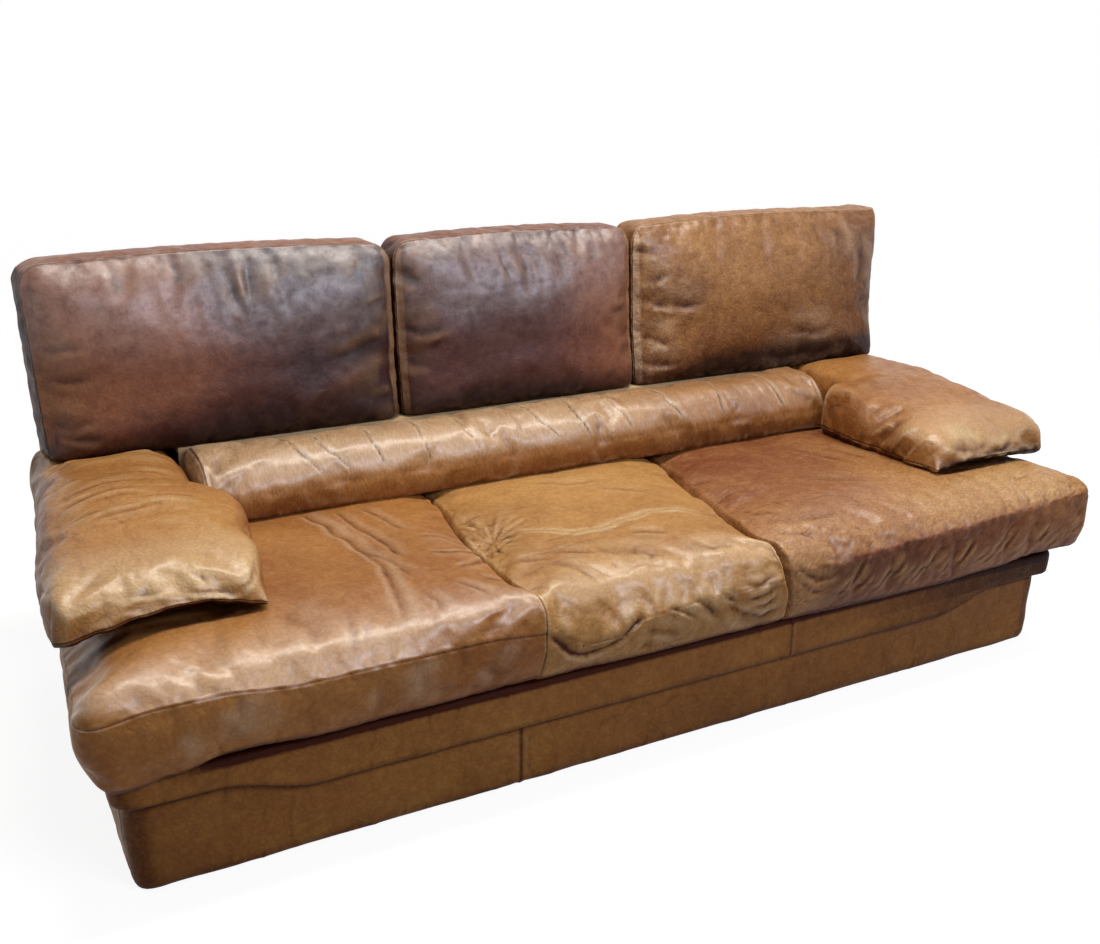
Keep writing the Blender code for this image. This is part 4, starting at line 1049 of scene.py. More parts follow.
# corners round a back's left and right edges. gathers are the height that they hang from, reach, size,
# depth, seed and spread. swell is the size and seed of its bulges, sides the unevenness of its ends, and
# rough the stretch over which small crumples set in. shade is where the darker dye starts and ends, its
# slant and how dark it is, and gusset the tone of its top. ear draws up its right corner, taper moves its
# foot sideways, and sideTaper the rear of its left end.
backs = {
    "left": {
        "span": (-1.025, -0.297), "limits": (-1.05, -0.295), "corners": (0.050, 0.046),
        "leather": "backDark", "cloth": {"stretch": -0.012, "bending": 1.6},
        "gathers": (0.905, 0.06, 0.011, 0.0007, 71, (-0.75, -0.31)),
        "front": (
            (8, 8.5, ((-588, 905), (-600, 870), (-602, 835), (-598, 800))),
            (7, 4.0, ((-626, 860), (-632, 830), (-618, 805), (-600, 795))),
            (7, 2.5, ((-1010, 760), (-960, 755), (-915, 765))),
            (6, 1.8, ((-1005, 700), (-960, 690), (-900, 700))),
            (7, 2.6, ((-1005, 622), (-955, 612), (-905, 622))),
            (6, 2.4, ((-1000, 605), (-940, 585), (-890, 583))),
            (5, 2.6, ((-540, 905), (-548, 875), (-550, 850))),
            (12, 5.5, ((-302, 720), (-360, 712), (-430, 690), (-470, 680))),
            (10, 3.5, ((-302, 800), (-340, 785), (-370, 780))),
            (9, 3.5, ((-302, 600), (-335, 595), (-370, 585))),
            (10, 2.8, ((-345, 890), (-375, 860), (-385, 820))),
            (9, 2.8, ((-860, 905), (-850, 880), (-855, 850))),
            (8, 2.8, ((-750, 905), (-735, 880), (-740, 855))),
            (20, -9.0, ((-560, 585), (-480, 625), (-400, 655), (-310, 675)), {"dirt": 0, "rub": 0}),
        ),
        "sides": 0.0020, "swell": ((0.16, 0.12, 0.14), 73), "lines": (0.11, 0.05, 0.035), "rough": None,
        "tone": 0.42, "shade": (-0.78, -0.48, 0.35, 0.50), "gusset": 0.34, "sideShade": 0.35, "shine": 1.0,
        "crown": 0.009, "ear": 0.0, "taper": 0.014, "sideTaper": -0.008,
        # the first patch is painted shade along the foot, the others are stains
        "stains": (((-0.55, 0.56), (0.40, 0.06), 0.55), ((-0.42, 0.705), (0.12, 0.025), 0.22, 20),
                   ((-0.40, 0.645), (0.12, 0.02), -0.16, 20), ((-0.93, 0.63), (0.16, 0.09), -0.10)),
    },
    "middle": {
        "span": (-0.293, 0.293), "limits": (-0.295, 0.295), "corners": (0.036, 0.034),
        "leather": "backDark", "cloth": {"stretch": -0.014, "bending": 1.5},
        "gathers": (0.915, 0.08, 0.013, 0.0014, 81, (-0.20, 0.27)),
        "front": (
            (10, 5.5, ((-286, 860), (-260, 840), (-230, 822))),
            (9, 5.0, ((-288, 735), (-240, 722), (-205, 735), (-180, 752))),
            (9, 3.5, ((-288, 668), (-260, 655), (-220, 650))),
            (6, 3.0, ((-50, 890), (-40, 850), (-30, 810))),
            (6, 3.0, ((20, 890), (35, 860), (40, 820))),
            (6, 3.2, ((100, 890), (115, 865), (120, 840))),
            (6, 2.8, ((170, 890), (180, 865), (180, 840))),
            (8, 2.8, ((295, 740), (250, 735), (210, 730))),
            (8, 3.0, ((295, 650), (265, 640), (240, 620))),
        ),
        "sides": 0.0, "swell": ((0.12, 0.10, 0.09), 83), "lines": (0.07, 0.05, 0.05), "rough": None,
        "tone": 0.74, "shade": (0.0, 0.22, -0.20, -0.30), "gusset": 0.42, "sideShade": 0.0, "shine": 1.0,
        "crown": 0.009, "ear": 0.0, "taper": 0.0, "sideTaper": 0.0,
        # the second patch is painted shade along the foot
        "stains": (((-0.10, 0.60), (0.20, 0.10), -0.04), ((0.00, 0.555), (0.30, 0.04), 0.42)),
    },
    "right": {
        "span": (0.297, 1.040), "limits": (0.295, 1.062), "corners": (0.034, 0.014),
        "leather": "backTan", "cloth": {"stretch": -0.015, "bending": 1.3},
        "gathers": (0.905, 0.05, 0.012, 0.0007, 91, (0.35, 1.0)),
        "front": (
            (8, 5.0, ((305, 745), (360, 735), (430, 732), (500, 735))),
            (8, 3.5, ((305, 800), (350, 790), (400, 795))),
            (9, 4.5, ((305, 655), (350, 650), (410, 640))),
            (8, 4.0, ((305, 600), (360, 597), (420, 590))),
            (8, 3.0, ((305, 860), (340, 850), (370, 855))),
            (12, 4.5, ((620, 600), (720, 575), (850, 580), (950, 610))),
            (10, 3.0, ((700, 660), (800, 630), (900, 650))),
            (10, 3.5, ((950, 880), (970, 800), (960, 720))),
            (8, 2.8, ((880, 900), (900, 860), (890, 800))),
        ),
        "sides": 0.0, "swell": ((0.11, 0.10, 0.08), 93), "lines": (0.05, 0.05, 0.06), "rough": (0.60, 0.32),
        "tone": 0.54, "shade": None, "gusset": 0.44, "sideShade": 0.10, "shine": 0.35,
        "crown": 0.013, "ear": 0.014, "taper": -0.010, "sideTaper": 0.0,
        # the first patch is painted shade along the foot, the others are stains
        "stains": (((0.80, 0.56), (0.38, 0.05), 0.80), ((1.00, 0.75), (0.10, 0.20), 0.16),
                   ((0.55, 0.86), (0.25, 0.08), -0.12)),
    },
}


def faceGathers(leather, roof, reach, size, depth, seed, spread):
    # Gathers that hang from the top seam and fade out down the face
    points = leather["points"]
    slant = points[:, 0] + (roof - points[:, 2]) * 0.22
    field = lattice2(slant, points[:, 2] * 0.10, size, seed)
    length = np.maximum(reach * (0.75 + 0.6 * lattice2(slant, slant * 0, 0.03, seed + 1)), 0.01)
    onFace = smoothStep(0.2, 0.8, facingFront(leather["normals"]))
    where = smoothStep(1.0, 0.0, (roof - points[:, 2]) / length) * onFace
    where = where * smoothStep(spread[0] - 0.05, spread[0] + 0.05, points[:, 0])
    where = where * smoothStep(spread[1] + 0.05, spread[1] - 0.05, points[:, 0])
    leather["shift"] += depth * np.minimum(field, 0.25) * where
    leather["dirt"] += 0.30 * np.clip(-field - 0.25, 0, 1) * where


def back(place):
    plan, own = backPlan, backs[place]
    low, high = own["span"][0] + plan["gap"], own["span"][1] - plan["gap"]
    (face, rear), (foot, roof) = plan["depth"], plan["level"]
    seam, rearSeam, cell = face + plan["seamDepth"], rear - plan["rearSeam"], plan["cell"]
    grid = (placesAlong((low, cell), high),
            placesAlong((face, 0.009), (seam - 0.008, 0.004), (seam + 0.008, 0.0105), (rearSeam, 0.012),
                        rear),
            placesAlong((foot, cell), roof))

    def shape(points, unit):
        height = np.clip((points[:, 2] - foot) / (roof - foot), 0, 1)
        forward = np.clip((rear - points[:, 1]) / (rear - face), 0, 1)
        across, up = np.clip(unit[:, 0], -1, 1), np.clip(unit[:, 2], -1, 1)
        bulge = (1 - np.abs(across) ** 5) * (1 - np.abs(up) ** np.where(up > 0, 2.6, 7.0))
        points[:, 1] -= plan["faceCrown"] * bulge * smoothStep(0.5, 1.0, forward)
        points[:, 1] += 0.012 * forward * smoothStep(0.0, 0.4, height)
        points[:, 2] += own["crown"] * (1 - across ** 2) * smoothStep(0.6, 1.0, height)
        points[:, 1] += plan["lean"] * height * forward
        outward = across if own["taper"] < 0 else -across
        points[:, 0] += own["taper"] * np.clip(outward, 0, 1) * (1 - height)
        points[:, 0] += own["sideTaper"] * np.clip(-across, 0, 1) ** 6 * (1 - forward)
        points[:, 2] += own["ear"] * np.clip(across, 0, 1) ** 6 * smoothStep(0.7, 1.0, height)
        points[:, 0] += plan["drift"]
        return points

    def clear(points):
        first, last = (limit + plan["drift"] for limit in own["limits"])
        points[:, 0] = np.clip(points[:, 0], first + plan["gap"], last - plan["gap"])
        points[:, 1] = np.minimum(points[:, 1], plan["rearmost"])
        points[:, 2] = np.maximum(points[:, 2], foot)
        return points

    radii = [own["corners"], (0.024, 0.022), (0.011, 0.046)]
    faces, seams = ((1, 1, 0.9), (2, -1, 0.7)), ((1, seam, 0.85), (1, rearSeam, 0.85))
    leather = cushion(f"back_cushion_{place}", grid, radii, shape, clear, faces, seams, **own["cloth"])
    frontSeam, backSeam = leather["seams"]
    seamLine(leather, frontSeam, depth=0.0016, puff=0.0014, dirt=0.5)
    seamLine(leather, backSeam, depth=0.0016, puff=0.0010, dirt=0.5)
    onSides = smoothStep(0.75, 0.98, np.abs(leather["unit"][:, 0]))
    beside = np.clip(smoothed(frontSeam, leather["edges"], 4, 0.8) * 3.0, 0, 1)
    leather["rub"] = np.maximum(leather["rub"], 1.0 * beside * onSides * (1 - 0.6 * frontSeam))
    piping = smoothStep(0.965, 0.99, np.abs(leather["unit"][:, 0]))
    piping = piping * smoothStep(0.2, 0.6, facingFront(leather["normals"]))
    piping = piping * smoothStep(-0.95, -0.85, leather["points"][:, 0])
    leather["rub"] = np.maximum(leather["rub"], 0.7 * piping)
    faceGathers(leather, *own["gathers"])
    creases(leather, "front", own["front"], dirt=0.5)
    apply(leather)
    points = leather["points"]
    onFace = smoothStep(0.2, 0.8, facingFront(leather["normals"]))
    size, seed = own["swell"]
    weather(leather, 0.0040, size, seed, onFace)
    weather(leather, 0.0, 0.1, seed, 1.0, own["lines"], 0.0007)
    side = smoothStep(0.6, 0.9, np.abs(leather["normals"][:, 0]))
    leather["shift"] += own["sides"] * lattice(points, (0.03, 0.05, 0.018), 77) * side
    if own["rough"]:
        crumples = 0.0022 * cloudy(points, 0.022, 96) * smoothStep(*own["rough"], points[:, 0])
        leather["shift"] += crumples * onFace
    apply(leather)
    leather["tone"][:] = own["tone"]
    if own["shade"]:
        first, last, slope, amount = own["shade"]
        leather["tone"] += amount * smoothStep(first, last, points[:, 0] + (points[:, 2] - 0.72) * slope)
    blots(leather, "front", *own["stains"])
    # painted shade on the ends
    leather["tone"] += own["sideShade"] * side
    leather["dirt"] += 1.3 * own["sideShade"] * side
    # painted shade along the foot
    leather["dirt"] += 0.6 * smoothStep(0.595, 0.548, points[:, 2])
    gusset = smoothStep(0.5, 0.9, leather["normals"][:, 2])
    leather["tone"] = leather["tone"] * (1 - gusset) + own["gusset"] * gusset
    upper = smoothStep(0.68, 0.84, points[:, 2])
    leather["polish"] = own["shine"] * onFace * (0.15 + 0.85 * upper) + 0.3 * gusset
    complete(leather, own["leather"], [f"back_cushion_{place}"])


for place in backs:
    back(place)


# Arm cushions

armPlan = {
    "cell": 0.0088,
    "inner": 0.757,
    "outer": 1.080,
    "depth": (-0.3175, 0.3685),
    "bottom": 0.4104,
    "height": 0.128,
    "frontHeight": 0.092,
    "slope": 0.374,       # run over which an arm thickens, from its front
    "flare": 0.022,       # inner side nearer the middle at its front
    "seamRise": 0.032,
    "crown": 0.010,
    "roof": (0.5583, 0.02),        # highest that it may be, and how much lower under the back cushion
    "innermost": (0.680, 0.0838),  # nearest to the middle, and how much further out beside the roll
    "rearmost": 0.3725,
}

# bulge is that of an arm's inner side from front to back, and narrowing that of its outer side. lift is how
# far its front's foot is off the seat, outerRise how much fuller its outer half is, and droop how far its
# front hangs over the seat's end. crestLumps are depth, size and seed, and swell depth and seed. frontTone
# is painted shade on the foot of its front, sideShade painted shade on its sides, and crestRubAndHighlight
# wears its crest pale and paints a highlight on it.
arms = {
    "left": {
        "bulge": ((-0.33, 0.0), (-0.19, 0.028), (-0.05, 0.056), (0.065, 0.0)),
        "cloth": {"stretch": -0.012, "bending": 1.6},
        "lift": ((0.740, 0.002), (0.762, 0.006), (0.795, 0.016), (0.840, 0.028), (0.890, 0.028),
                 (0.940, 0.020), (1.000, 0.006), (1.055, -0.008), (1.080, -0.012)),
        "front": (
            (3, 2.4, ((-880, 478), (-845, 468), (-810, 462), (-780, 448))),
            (3, 1.8, ((-960, 482), (-930, 474), (-895, 476))),
            (3, 1.6, ((-860, 500), (-838, 488), (-825, 474))),
            (3, 1.6, ((-756, 488), (-772, 472), (-792, 464))),
        ),
        "narrowing": 0.048, "crestLumps": (0.0008, 0.009, 103), "innerFolds": 0.0, "swell": (0.0022, 104),
        "tone": 0.37,
        "stains": (((-0.80, -0.18), (0.10, 0.12), -0.16), ((-0.95, 0.10), (0.20, 0.12), 0.08)),
        "sideShade": 0.28, "frontTone": 0.32, "outerRise": 0.0, "droop": 0.012, "crestRubAndHighlight": 0.65,
    },
    "right": {
        "bulge": ((-0.33, 0.006), (-0.19, 0.034), (-0.04, 0.062), (0.035, 0.062), (0.062, 0.0)),
        "cloth": {"stretch": -0.022, "bending": 1.0},
        "lift": ((0.740, 0.002), (0.820, 0.011), (0.940, 0.010), (1.020, 0.004), (1.080, 0.000)),
        "front": (
            (7, 3.5, ((760, 482), (800, 470), (850, 466), (900, 470))),
            (6, 3.0, ((880, 455), (930, 448), (980, 452))),
        ),
        "narrowing": 0.030, "crestLumps": (0.0010, 0.016, 113), "innerFolds": 0.0045, "swell": (0.0024, 114),
        "tone": 0.52,
        "stains": (((0.80, -0.26), (0.09, 0.08), -0.14),),
        "sideShade": 0.12, "frontTone": 0.60, "outerRise": 0.008, "droop": 0.0, "crestRubAndHighlight": 0.40,
    },
}


def archedRipples(leather):
    # Slack leather lies in arched ripples across the top, behind the crest
    points = leather["points"]
    arc = points[:, 1] + 2.2 * (points[:, 0] + 0.90) ** 2 + 0.010 * lattice(points, 0.07, 101)
    ripples = lattice2(points[:, 0] * 0.16, arc, 0.013, 102)
    where = smoothStep(-0.20, -0.08, points[:, 1]) * smoothStep(-0.775, -0.83, points[:, 0])
    where = where * smoothStep(-1.04, -0.98, points[:, 0])
    where = where * smoothStep(0.3, 0.9, facingUp(leather["normals"]))
    leather["shift"] += 0.0028 * ripples * where
    leather["dirt"] += 0.18 * np.clip(-ripples - 0.2, 0, 1) * where
    leather["rub"] += 0.50 * np.clip(ripples - 0.1, 0, 1) * where


def arm(place):
    plan, own = armPlan, arms[place]
    sign = -1 if place == "left" else 1
    inner, outer, bottom, height, cell = (plan[k] for k in ("inner", "outer", "bottom", "height", "cell"))
    near, far = plan["depth"]
    xs = placesAlong((inner + 0.011, cell), outer)
    grid = (xs if sign > 0 else -xs[::-1], placesAlong((near, cell), far),
            placesAlong((bottom, 0.009), (bottom + 0.026, 0.0045), (bottom + 0.038, 0.009), bottom + height))
    edges = [0.030, 0.029][::sign]

    def shape(points, unit):
        y = points[:, 1]
        behind = smoothStep(near, near + plan["slope"], y)
        share = (plan["frontHeight"] + (height - plan["frontHeight"]) * behind) / height
        points[:, 2] = bottom + (points[:, 2] - bottom) * share
        innerShare = 1 - np.abs(np.abs(points[:, 0]) - inner) / (outer - inner)
        points[:, 0] -= sign * plan["flare"] * (1 - behind) * np.maximum(0, innerShare)
        points[:, 0] -= sign * through(y, own["bulge"]) * np.clip(innerShare, 0, 1) ** 1.5
        points[:, 0] -= sign * own["narrowing"] * smoothStep(near, far, y) * np.minimum(1, 1 - innerShare)
        ear = np.abs(unit[:, 0]) ** 10 * np.clip(-unit[:, 1], 0, 1) ** 10
        ear = ear * bell(points[:, 2] - bottom - 0.025, 0.018)
        ear = ear * np.where(np.sign(unit[:, 0]) == -sign, 1.0, 0.35)
        points += np.stack([np.sign(unit[:, 0]) * 0.010 * ear, -0.026 * ear, -0.006 * ear], axis=1)
        crown = np.maximum(0, 1 - unit[:, 0] ** 2) * np.maximum(0, 1 - unit[:, 1] ** 2)
        crown = crown * smoothStep(0, 0.5, unit[:, 2])
        points[:, 2] += plan["crown"] * crown * smoothStep(0.25, 0.15, y)
        rise = own["outerRise"] * smoothStep(0.95, 1.05, np.abs(points[:, 0]))
        points[:, 2] += rise * smoothStep(0, 0.6, unit[:, 2])
        under = smoothStep(-0.225, -0.300, y) * smoothStep(bottom + 0.085, bottom, points[:, 2])
        points[:, 2] += through(np.abs(points[:, 0]), own["lift"]) * under
        return points

    def clear(points):
        y = points[:, 1]
        (highest, lowered), (nearest, beside) = plan["roof"], plan["innermost"]
        roof = highest - lowered * smoothStep(0.20, 0.235, y)
        limit = nearest + beside * smoothStep(0.046, 0.066, y)
        points[:, 0] = sign * np.maximum(np.abs(points[:, 0]), limit)
        points[:, 1] = np.minimum(y, plan["rearmost"])
        over = own["droop"] * smoothStep(1.02, 1.06, np.abs(points[:, 0])) * smoothStep(-0.25, -0.30, y)
        points[:, 2] = np.clip(points[:, 2], bottom - over, roof)
        return points

    radii = [edges, (0.075, 0.03), (0.038, 0.056)]
    faces, seams = ((2, -1, 0.9),), ((2, bottom + plan["seamRise"], 0.8),)
    leather = cushion(f"arm_cushion_{place}", grid, radii, shape, clear, faces, seams, **own["cloth"])
    seamLine(leather, leather["seams"][0], dirt=0.3)
    points = leather["points"]
    if place == "left":
        archedRipples(leather)
    innerSide = smoothStep(0.2, 0.7, -sign * leather["normals"][:, 0])
    field = lattice2(points[:, 1] + points[:, 2] * 0.6, points[:, 2] * 0.2, 0.020, 112)
    folds = own["innerFolds"] * np.minimum(field, 0.3) * innerSide
    leather["shift"] += folds * smoothStep(0.0, -0.22, points[:, 1])
    creases(leather, "front", own["front"], dirt=0.5, lips=0.6, rub=0.5)
    apply(leather)
    points = leather["points"]
    depth, size, seed = own["crestLumps"]
    crumples = lattice(points * np.array([1.0, 0.4, 0.4]), size, seed)
    leather["shift"] += depth * crumples * smoothStep(-0.18, -0.26, points[:, 1])
    depth, seed = own["swell"]
    weather(leather, depth, 0.08, seed, 1.0, (0.07, 0.05, 0.05), 0.0009)
    apply(leather)
    leather["tone"][:] = own["tone"]
    blots(leather, "top", *own["stains"])
    normals, height = leather["normals"], leather["points"][:, 2]
    crest = smoothStep(-0.16, -0.24, points[:, 1])
    leather["polish"] = smoothStep(0.10, 0.50, normals[:, 2]) * (0.35 + 0.25 * crest)
    # the crest is rubbed pale: wear and a painted highlight
    leather["rub"] += own["crestRubAndHighlight"] * crest * bell(normals[:, 2] - 0.70, 0.40)
    # painted shade: darker sides, a darker foot of the front, and dark faces turned down and along the foot
    leather["tone"] += own["sideShade"] * smoothStep(0.5, 0.9, np.abs(normals[:, 0]))
    lower = smoothStep(0.25, -0.65, leather["unit"][:, 2])
    leather["tone"] += own["frontTone"] * smoothStep(0.2, 0.8, facingFront(normals)) * lower
    leather["dirt"] += (0.9 * smoothStep(0.05, -0.60, normals[:, 2])
                        + 0.4 * smoothStep(bottom + 0.016, bottom, height))
    complete(leather, "arms", [f"arm_cushion_{place}"])


for place in arms:
    arm(place)


# Lumbar roll

rollPlan = {
    "cell": 0.0088,
    "half": 0.762,
    "depth": (0.066, 0.2374),
    "level": (0.4104, 0.5448),
    "lean": 0.010,
    "endSeam": 0.015,
    "spare": 0.0005,          # how far its ends may bulge
    "rearmost": 0.2376,
    "roof": (0.5382, 0.012),  # highest under the back cushions, and how much more in front of them
    "tone": 0.40,
    # place and slope of each crease
    "creases": ((-0.565, 0.05), (-0.512, 0.06), (-0.41, 0.02), (-0.30, 0.01), (-0.205, 0.03), (-0.03, 0.05),
                (0.07, 0.02), (0.17, 0.03), (0.30, 0.04), (0.45, 0.0), (0.60, 0.03)),
}


def lumbarRoll():
    plan = rollPlan
    half, cell, (near, far), (foot, roof) = plan["half"], plan["cell"], plan["depth"], plan["level"]
    grid = (placesAlong((-half, 0.005), (-half + 0.03, cell), (half - 0.03, 0.005), half),
            placesAlong((near, cell), far), placesAlong((foot, cell), roof))

    def shape(points, unit):
        height = (points[:, 2] - foot) / (roof - foot)
        forward = np.clip((far - points[:, 1]) / (far - near), 0, 1)
        points[:, 1] += plan["lean"] * forward * smoothStep(0.35, 1.0, height)
        return points

    def clear(points):
        points[:, 0] = np.clip(points[:, 0], -half - plan["spare"], half + plan["spare"])
        points[:, 1] = np.minimum(points[:, 1], plan["rearmost"])
        highest, more = plan["roof"]
        limit = highest + more * smoothStep(0.224, 0.205, points[:, 1])
        points[:, 2] = np.clip(points[:, 2], foot, limit)
        return points

    radii = [(0.018, 0.018), (0.085, 0.016), (0.026, 0.080)]
    seams = tuple((0, side * (half - plan["endSeam"]), 0.85) for side in (-1, 1))
    leather = cushion("lumbar_roll", grid, radii, shape, clear, ((1, 1, 0.9), (2, -1, 0.8)), seams,
                      stretch=-0.016, pressure=2.0, bending=0.9)
    for seam in leather["seams"]:
        seamLine(leather, seam)
    points = leather["points"]
    girth = (points[:, 2] - points[:, 1]) * 0.12
    slant = points[:, 0] + (points[:, 2] - 0.48) * 0.35 + 0.006 * lattice(points, 0.05, 120)
    field = lattice2(slant, girth, 0.016, 121)
    strength = np.clip(0.6 + 0.6 * lattice(points, (0.16, 0.3, 0.3), 122), 0.1, 1.2)
    leather["shift"] += 0.0012 * np.minimum(field, 0.35) * strength
    leather["shift"] += 0.0008 * lattice2(slant, girth, 0.008, 123) * strength
    leather["dirt"] += 0.14 * np.clip(-field - 0.3, 0, 1)
    for x, slope in plan["creases"]:
        path = ((x - slope * 0.2, 0.552), (x + slope * 0.4, 0.525), (x + slope, 0.488))
        crease(leather, "front", 2.0, 1.4, path, dirt=0.6, lips=0.6, ends=0.3)
        path = ((x - slope * 0.3, 0.20), (x, 0.14), (x + slope * 0.2, 0.11))
        crease(leather, "top", 2.0, 1.2, path, dirt=0.4)
    apply(leather)
    weather(leather, 0.0018, (0.06, 0.05, 0.05), 124)
    leather["tone"][:] = plan["tone"]
    # painted shade on the lower half; also darker towards the right
    leather["tone"] += (0.14 * smoothStep(0.48, 0.43, points[:, 2])
                        + 0.10 * smoothStep(0.1, 0.5, points[:, 0]))
    leather["polish"] = 0.7 * smoothStep(0.05, 0.50, leather["normals"][:, 2])
    # the top is rubbed pale, more on the left: wear and a painted highlight
    leftPart = smoothStep(0.45, 0.0, points[:, 0])
    leather["rub"] += smoothStep(0.465, 0.515, points[:, 2]) * (0.14 + 0.34 * leftPart)
    blots(leather, "front", ((0.10, 0.45), (0.30, 0.05), 0.10))
    apply(leather)
    complete(leather, "roll", ["lumbar_roll"])


lumbarRoll()


# Padded covers of the plinth and the apron band

coverPlan = {
    "plinthHalf": 0.997, "plinthFront": 0.085, "plinthBack": 0.902, "plinthTurn": 0.033,
    "plinthLevel": (0.0025, 0.1733),
    "frameHalf": 1.012, "frameFront": 0.062, "frameTurn": 0.070,
    "corner": 0.021, "railBottom": 0.1747, "apronTop": 0.2246,
    "drop": 0.045,            # apron below the seat frame, between the ogee bends
    "rise": 0.040,            # and how far its lower edge rises at the ends
    "ogee": (0.700, 0.870),   # from the centre to where it starts to rise, and where it has risen
}
halfDepth = 0.4625


def roundFront(half, frontDepth, turnIn):
    # Place and outward direction along a path that turns both front corners
    radius = coverPlan["corner"]
    straight, quarter = turnIn - radius, radius * math.pi / 2
    total = 2 * (straight + quarter + half - radius)

    def at(length):
        s = np.minimum(length, total - length)
        flip = np.where(length > total / 2, -1, 1)
        angle = np.clip((s - straight) / radius, 0, math.pi / 2)
        outX, outDepth = -np.cos(angle), -np.sin(angle)
        x = -half + radius + radius * outX + np.maximum(0, s - straight - quarter)
        depth = frontDepth + radius + radius * outDepth + np.maximum(0, straight - s)
        return flip * x, depth, flip * outX, outDepth

    return at, total


def straightEnd(node, half):
    low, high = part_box(node)
    sign = -1 if node.endswith("left") else 1

    def at(s):
        depth = (high[1] - s if sign < 0 else low[1] + s) + halfDepth
        return sign * half + s * 0, depth, sign + s * 0, s * 0

    return at, high[1] - low[1]


def plinthPadding(height, alongFront):
    lowest, fullest = 0.009 + 0.007 * alongFront, 0.016 + 0.002 * alongFront
    return lowest + (fullest - lowest) * np.minimum(1, height * 1.35) ** 0.8


def apronPadding(height, alongFront):
    return 0.0175 - 0.001 * alongFront + 0.0015 * np.sin(height * math.pi)


def apronLow(x):
    rise = smoothStep(*coverPlan["ogee"], np.abs(x))
    return coverPlan["railBottom"] - coverPlan["drop"] + rise * coverPlan["rise"]


def levelLow(height):  # a straight lower edge
    def low(x):
        return height + x * 0

    return low


coverCommon = {
    "cell": 0.011,
    "edge": 0.005,
    "seams": (),         # places of sewn seams, from the middle
    "wobble": 0.0020,
    "shaded": None,      # heights between which a painted shadow darkens it, under the seat's front
    "tone": 0.40,
    "edgeShade": 0.30,
    "skin": 0.0003,      # space between a cover and its board
    "rightFull": 0.013,  # extra padding on the right end
}


def cover(node, path, padding, low, top, seed, **changes):
    # A long closed strip, bent round its board: X along it, Y outwards through it, Z upwards
    plan = {**coverCommon, **changes}
    at, total = path
    grid = (placesAlong((0.0, plan["cell"]), total), np.array([0.0, 0.5, 1.0]),
            placesAlong((0.0, plan["cell"]), top - low(np.zeros(1))[0]))
    piece = gridBlock(pieceName(node), grid)
    mesh = piece.data
    unit = readUnit(mesh)
    height, outward = (unit[:, 2] + 1) / 2, (unit[:, 1] + 1) / 2
    x, depth, outX, outDepth = at(readPoints(mesh)[:, 0])
    foot = low(x)
    z = foot + (top - foot) * height
    thick = padding(height, np.abs(outDepth)) + plan["rightFull"] * np.maximum(outX, 0)
    curl = 1 - np.clip(np.minimum(z - foot, top - z) / plan["edge"], 0, 1)
    thick = thick - plan["edge"] * 0.9 * (1 - np.sqrt(1 - curl ** 2))
    out = plan["skin"] + (thick - plan["skin"]) * outward
    writePoints(mesh, np.stack([x + outX * out, depth + outDepth * out - halfDepth, z], axis=1))
    refined(piece)
    leather = begin(piece)
    points, unit = leather["points"], leather["unit"]
    isApron = "apron" in node
    outer = smoothStep(0.3, 0.9, unit[:, 1])
    weather(leather, plan["wobble"], (0.13, 0.13, 0.06), seed, outer, (0.05, 0.05, 0.09), 0.0008)
    leather["shift"] += plan["wobble"] * 0.35 * lattice(points, (0.03, 0.03, 0.05), seed + 1) * outer
    for seamX in plan["seams"]:
        sewnLine(leather, np.abs(points[:, 0] - seamX), outer, 0.2 if isApron else 0.5)
    apply(leather)
    # painted shade along its top and bottom edges
    nearest = np.minimum(unit[:, 2] + 1, 1 - unit[:, 2])
    leather["dirt"] += plan["edgeShade"] * np.clip(1 - nearest / 0.16, 0, 1)
    # painted shadow under the seat's front, from near the left end rightwards
    if plan["shaded"]:
        rightwards = smoothStep(-0.96, -0.84, points[:, 0])
        leather["dirt"] += smoothStep(*plan["shaded"], points[:, 2]) * rightwards
    leather["hidden"] = unit[:, 1] < -0.997
    leather["tone"][:] = plan["tone"] + 0.10 * lattice(points, (0.5, 0.5, 0.2), seed + 4)
    if node.endswith("front"):
        # painted shadow along the apron's lower edge, on its lip and on the plinth under it
        leather["dirt"] += 1.0 * bell(points[:, 2] - apronLow(points[:, 0]) + 0.002, 0.006)
        if isApron:
            # painted shade: the apron darker towards the right
            aboveRail = points[:, 2] > coverPlan["railBottom"]
            leather["dirt"] += 0.50 * smoothStep(0.3, 0.8, points[:, 0])
            leather["tone"] += 0.34 * smoothStep(0.2, 0.9, points[:, 0]) * aboveRail
    complete(leather, "plinth", [node])


def covers():
    plan = coverPlan
    foot, roof = plan["plinthLevel"]
    at, total = roundFront(plan["plinthHalf"], plan["plinthFront"], plan["plinthTurn"])

    def behind(length):
        x, depth, outX, outDepth = at(total - length)
        return x, plan["plinthFront"] + plan["plinthBack"] - depth, outX, -outDepth

    level = levelLow(foot)
    cover("plinth_cover_front", (at, total), plinthPadding, level, roof, 131, cell=0.012, seams=(-0.317,))
    cover("plinth_cover_back", (behind, total), plinthPadding, level, roof, 141, cell=0.016)
    for place, seed in (("left", 148), ("right", 154)):
        ends = straightEnd(f"plinth_cover_{place}", plan["plinthHalf"])
        cover(f"plinth_cover_{place}", ends, plinthPadding, level, roof, seed, cell=0.014)
        ends = straightEnd(f"apron_{place}", plan["frameHalf"])
        lowest = levelLow(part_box(f"apron_{place}")[0][2])
        cover(f"apron_{place}", ends, apronPadding, lowest, plan["apronTop"], seed + 20, edge=0.007,
              wobble=0.0012)
    path = roundFront(plan["frameHalf"], plan["frameFront"], plan["frameTurn"])
    cover("apron_front", path, apronPadding, apronLow, plan["apronTop"], 161, cell=0.009, edge=0.007,
          seams=(0.28,), wobble=0.0012, shaded=(0.205, 0.214))


covers()


# Back wings and the outside back

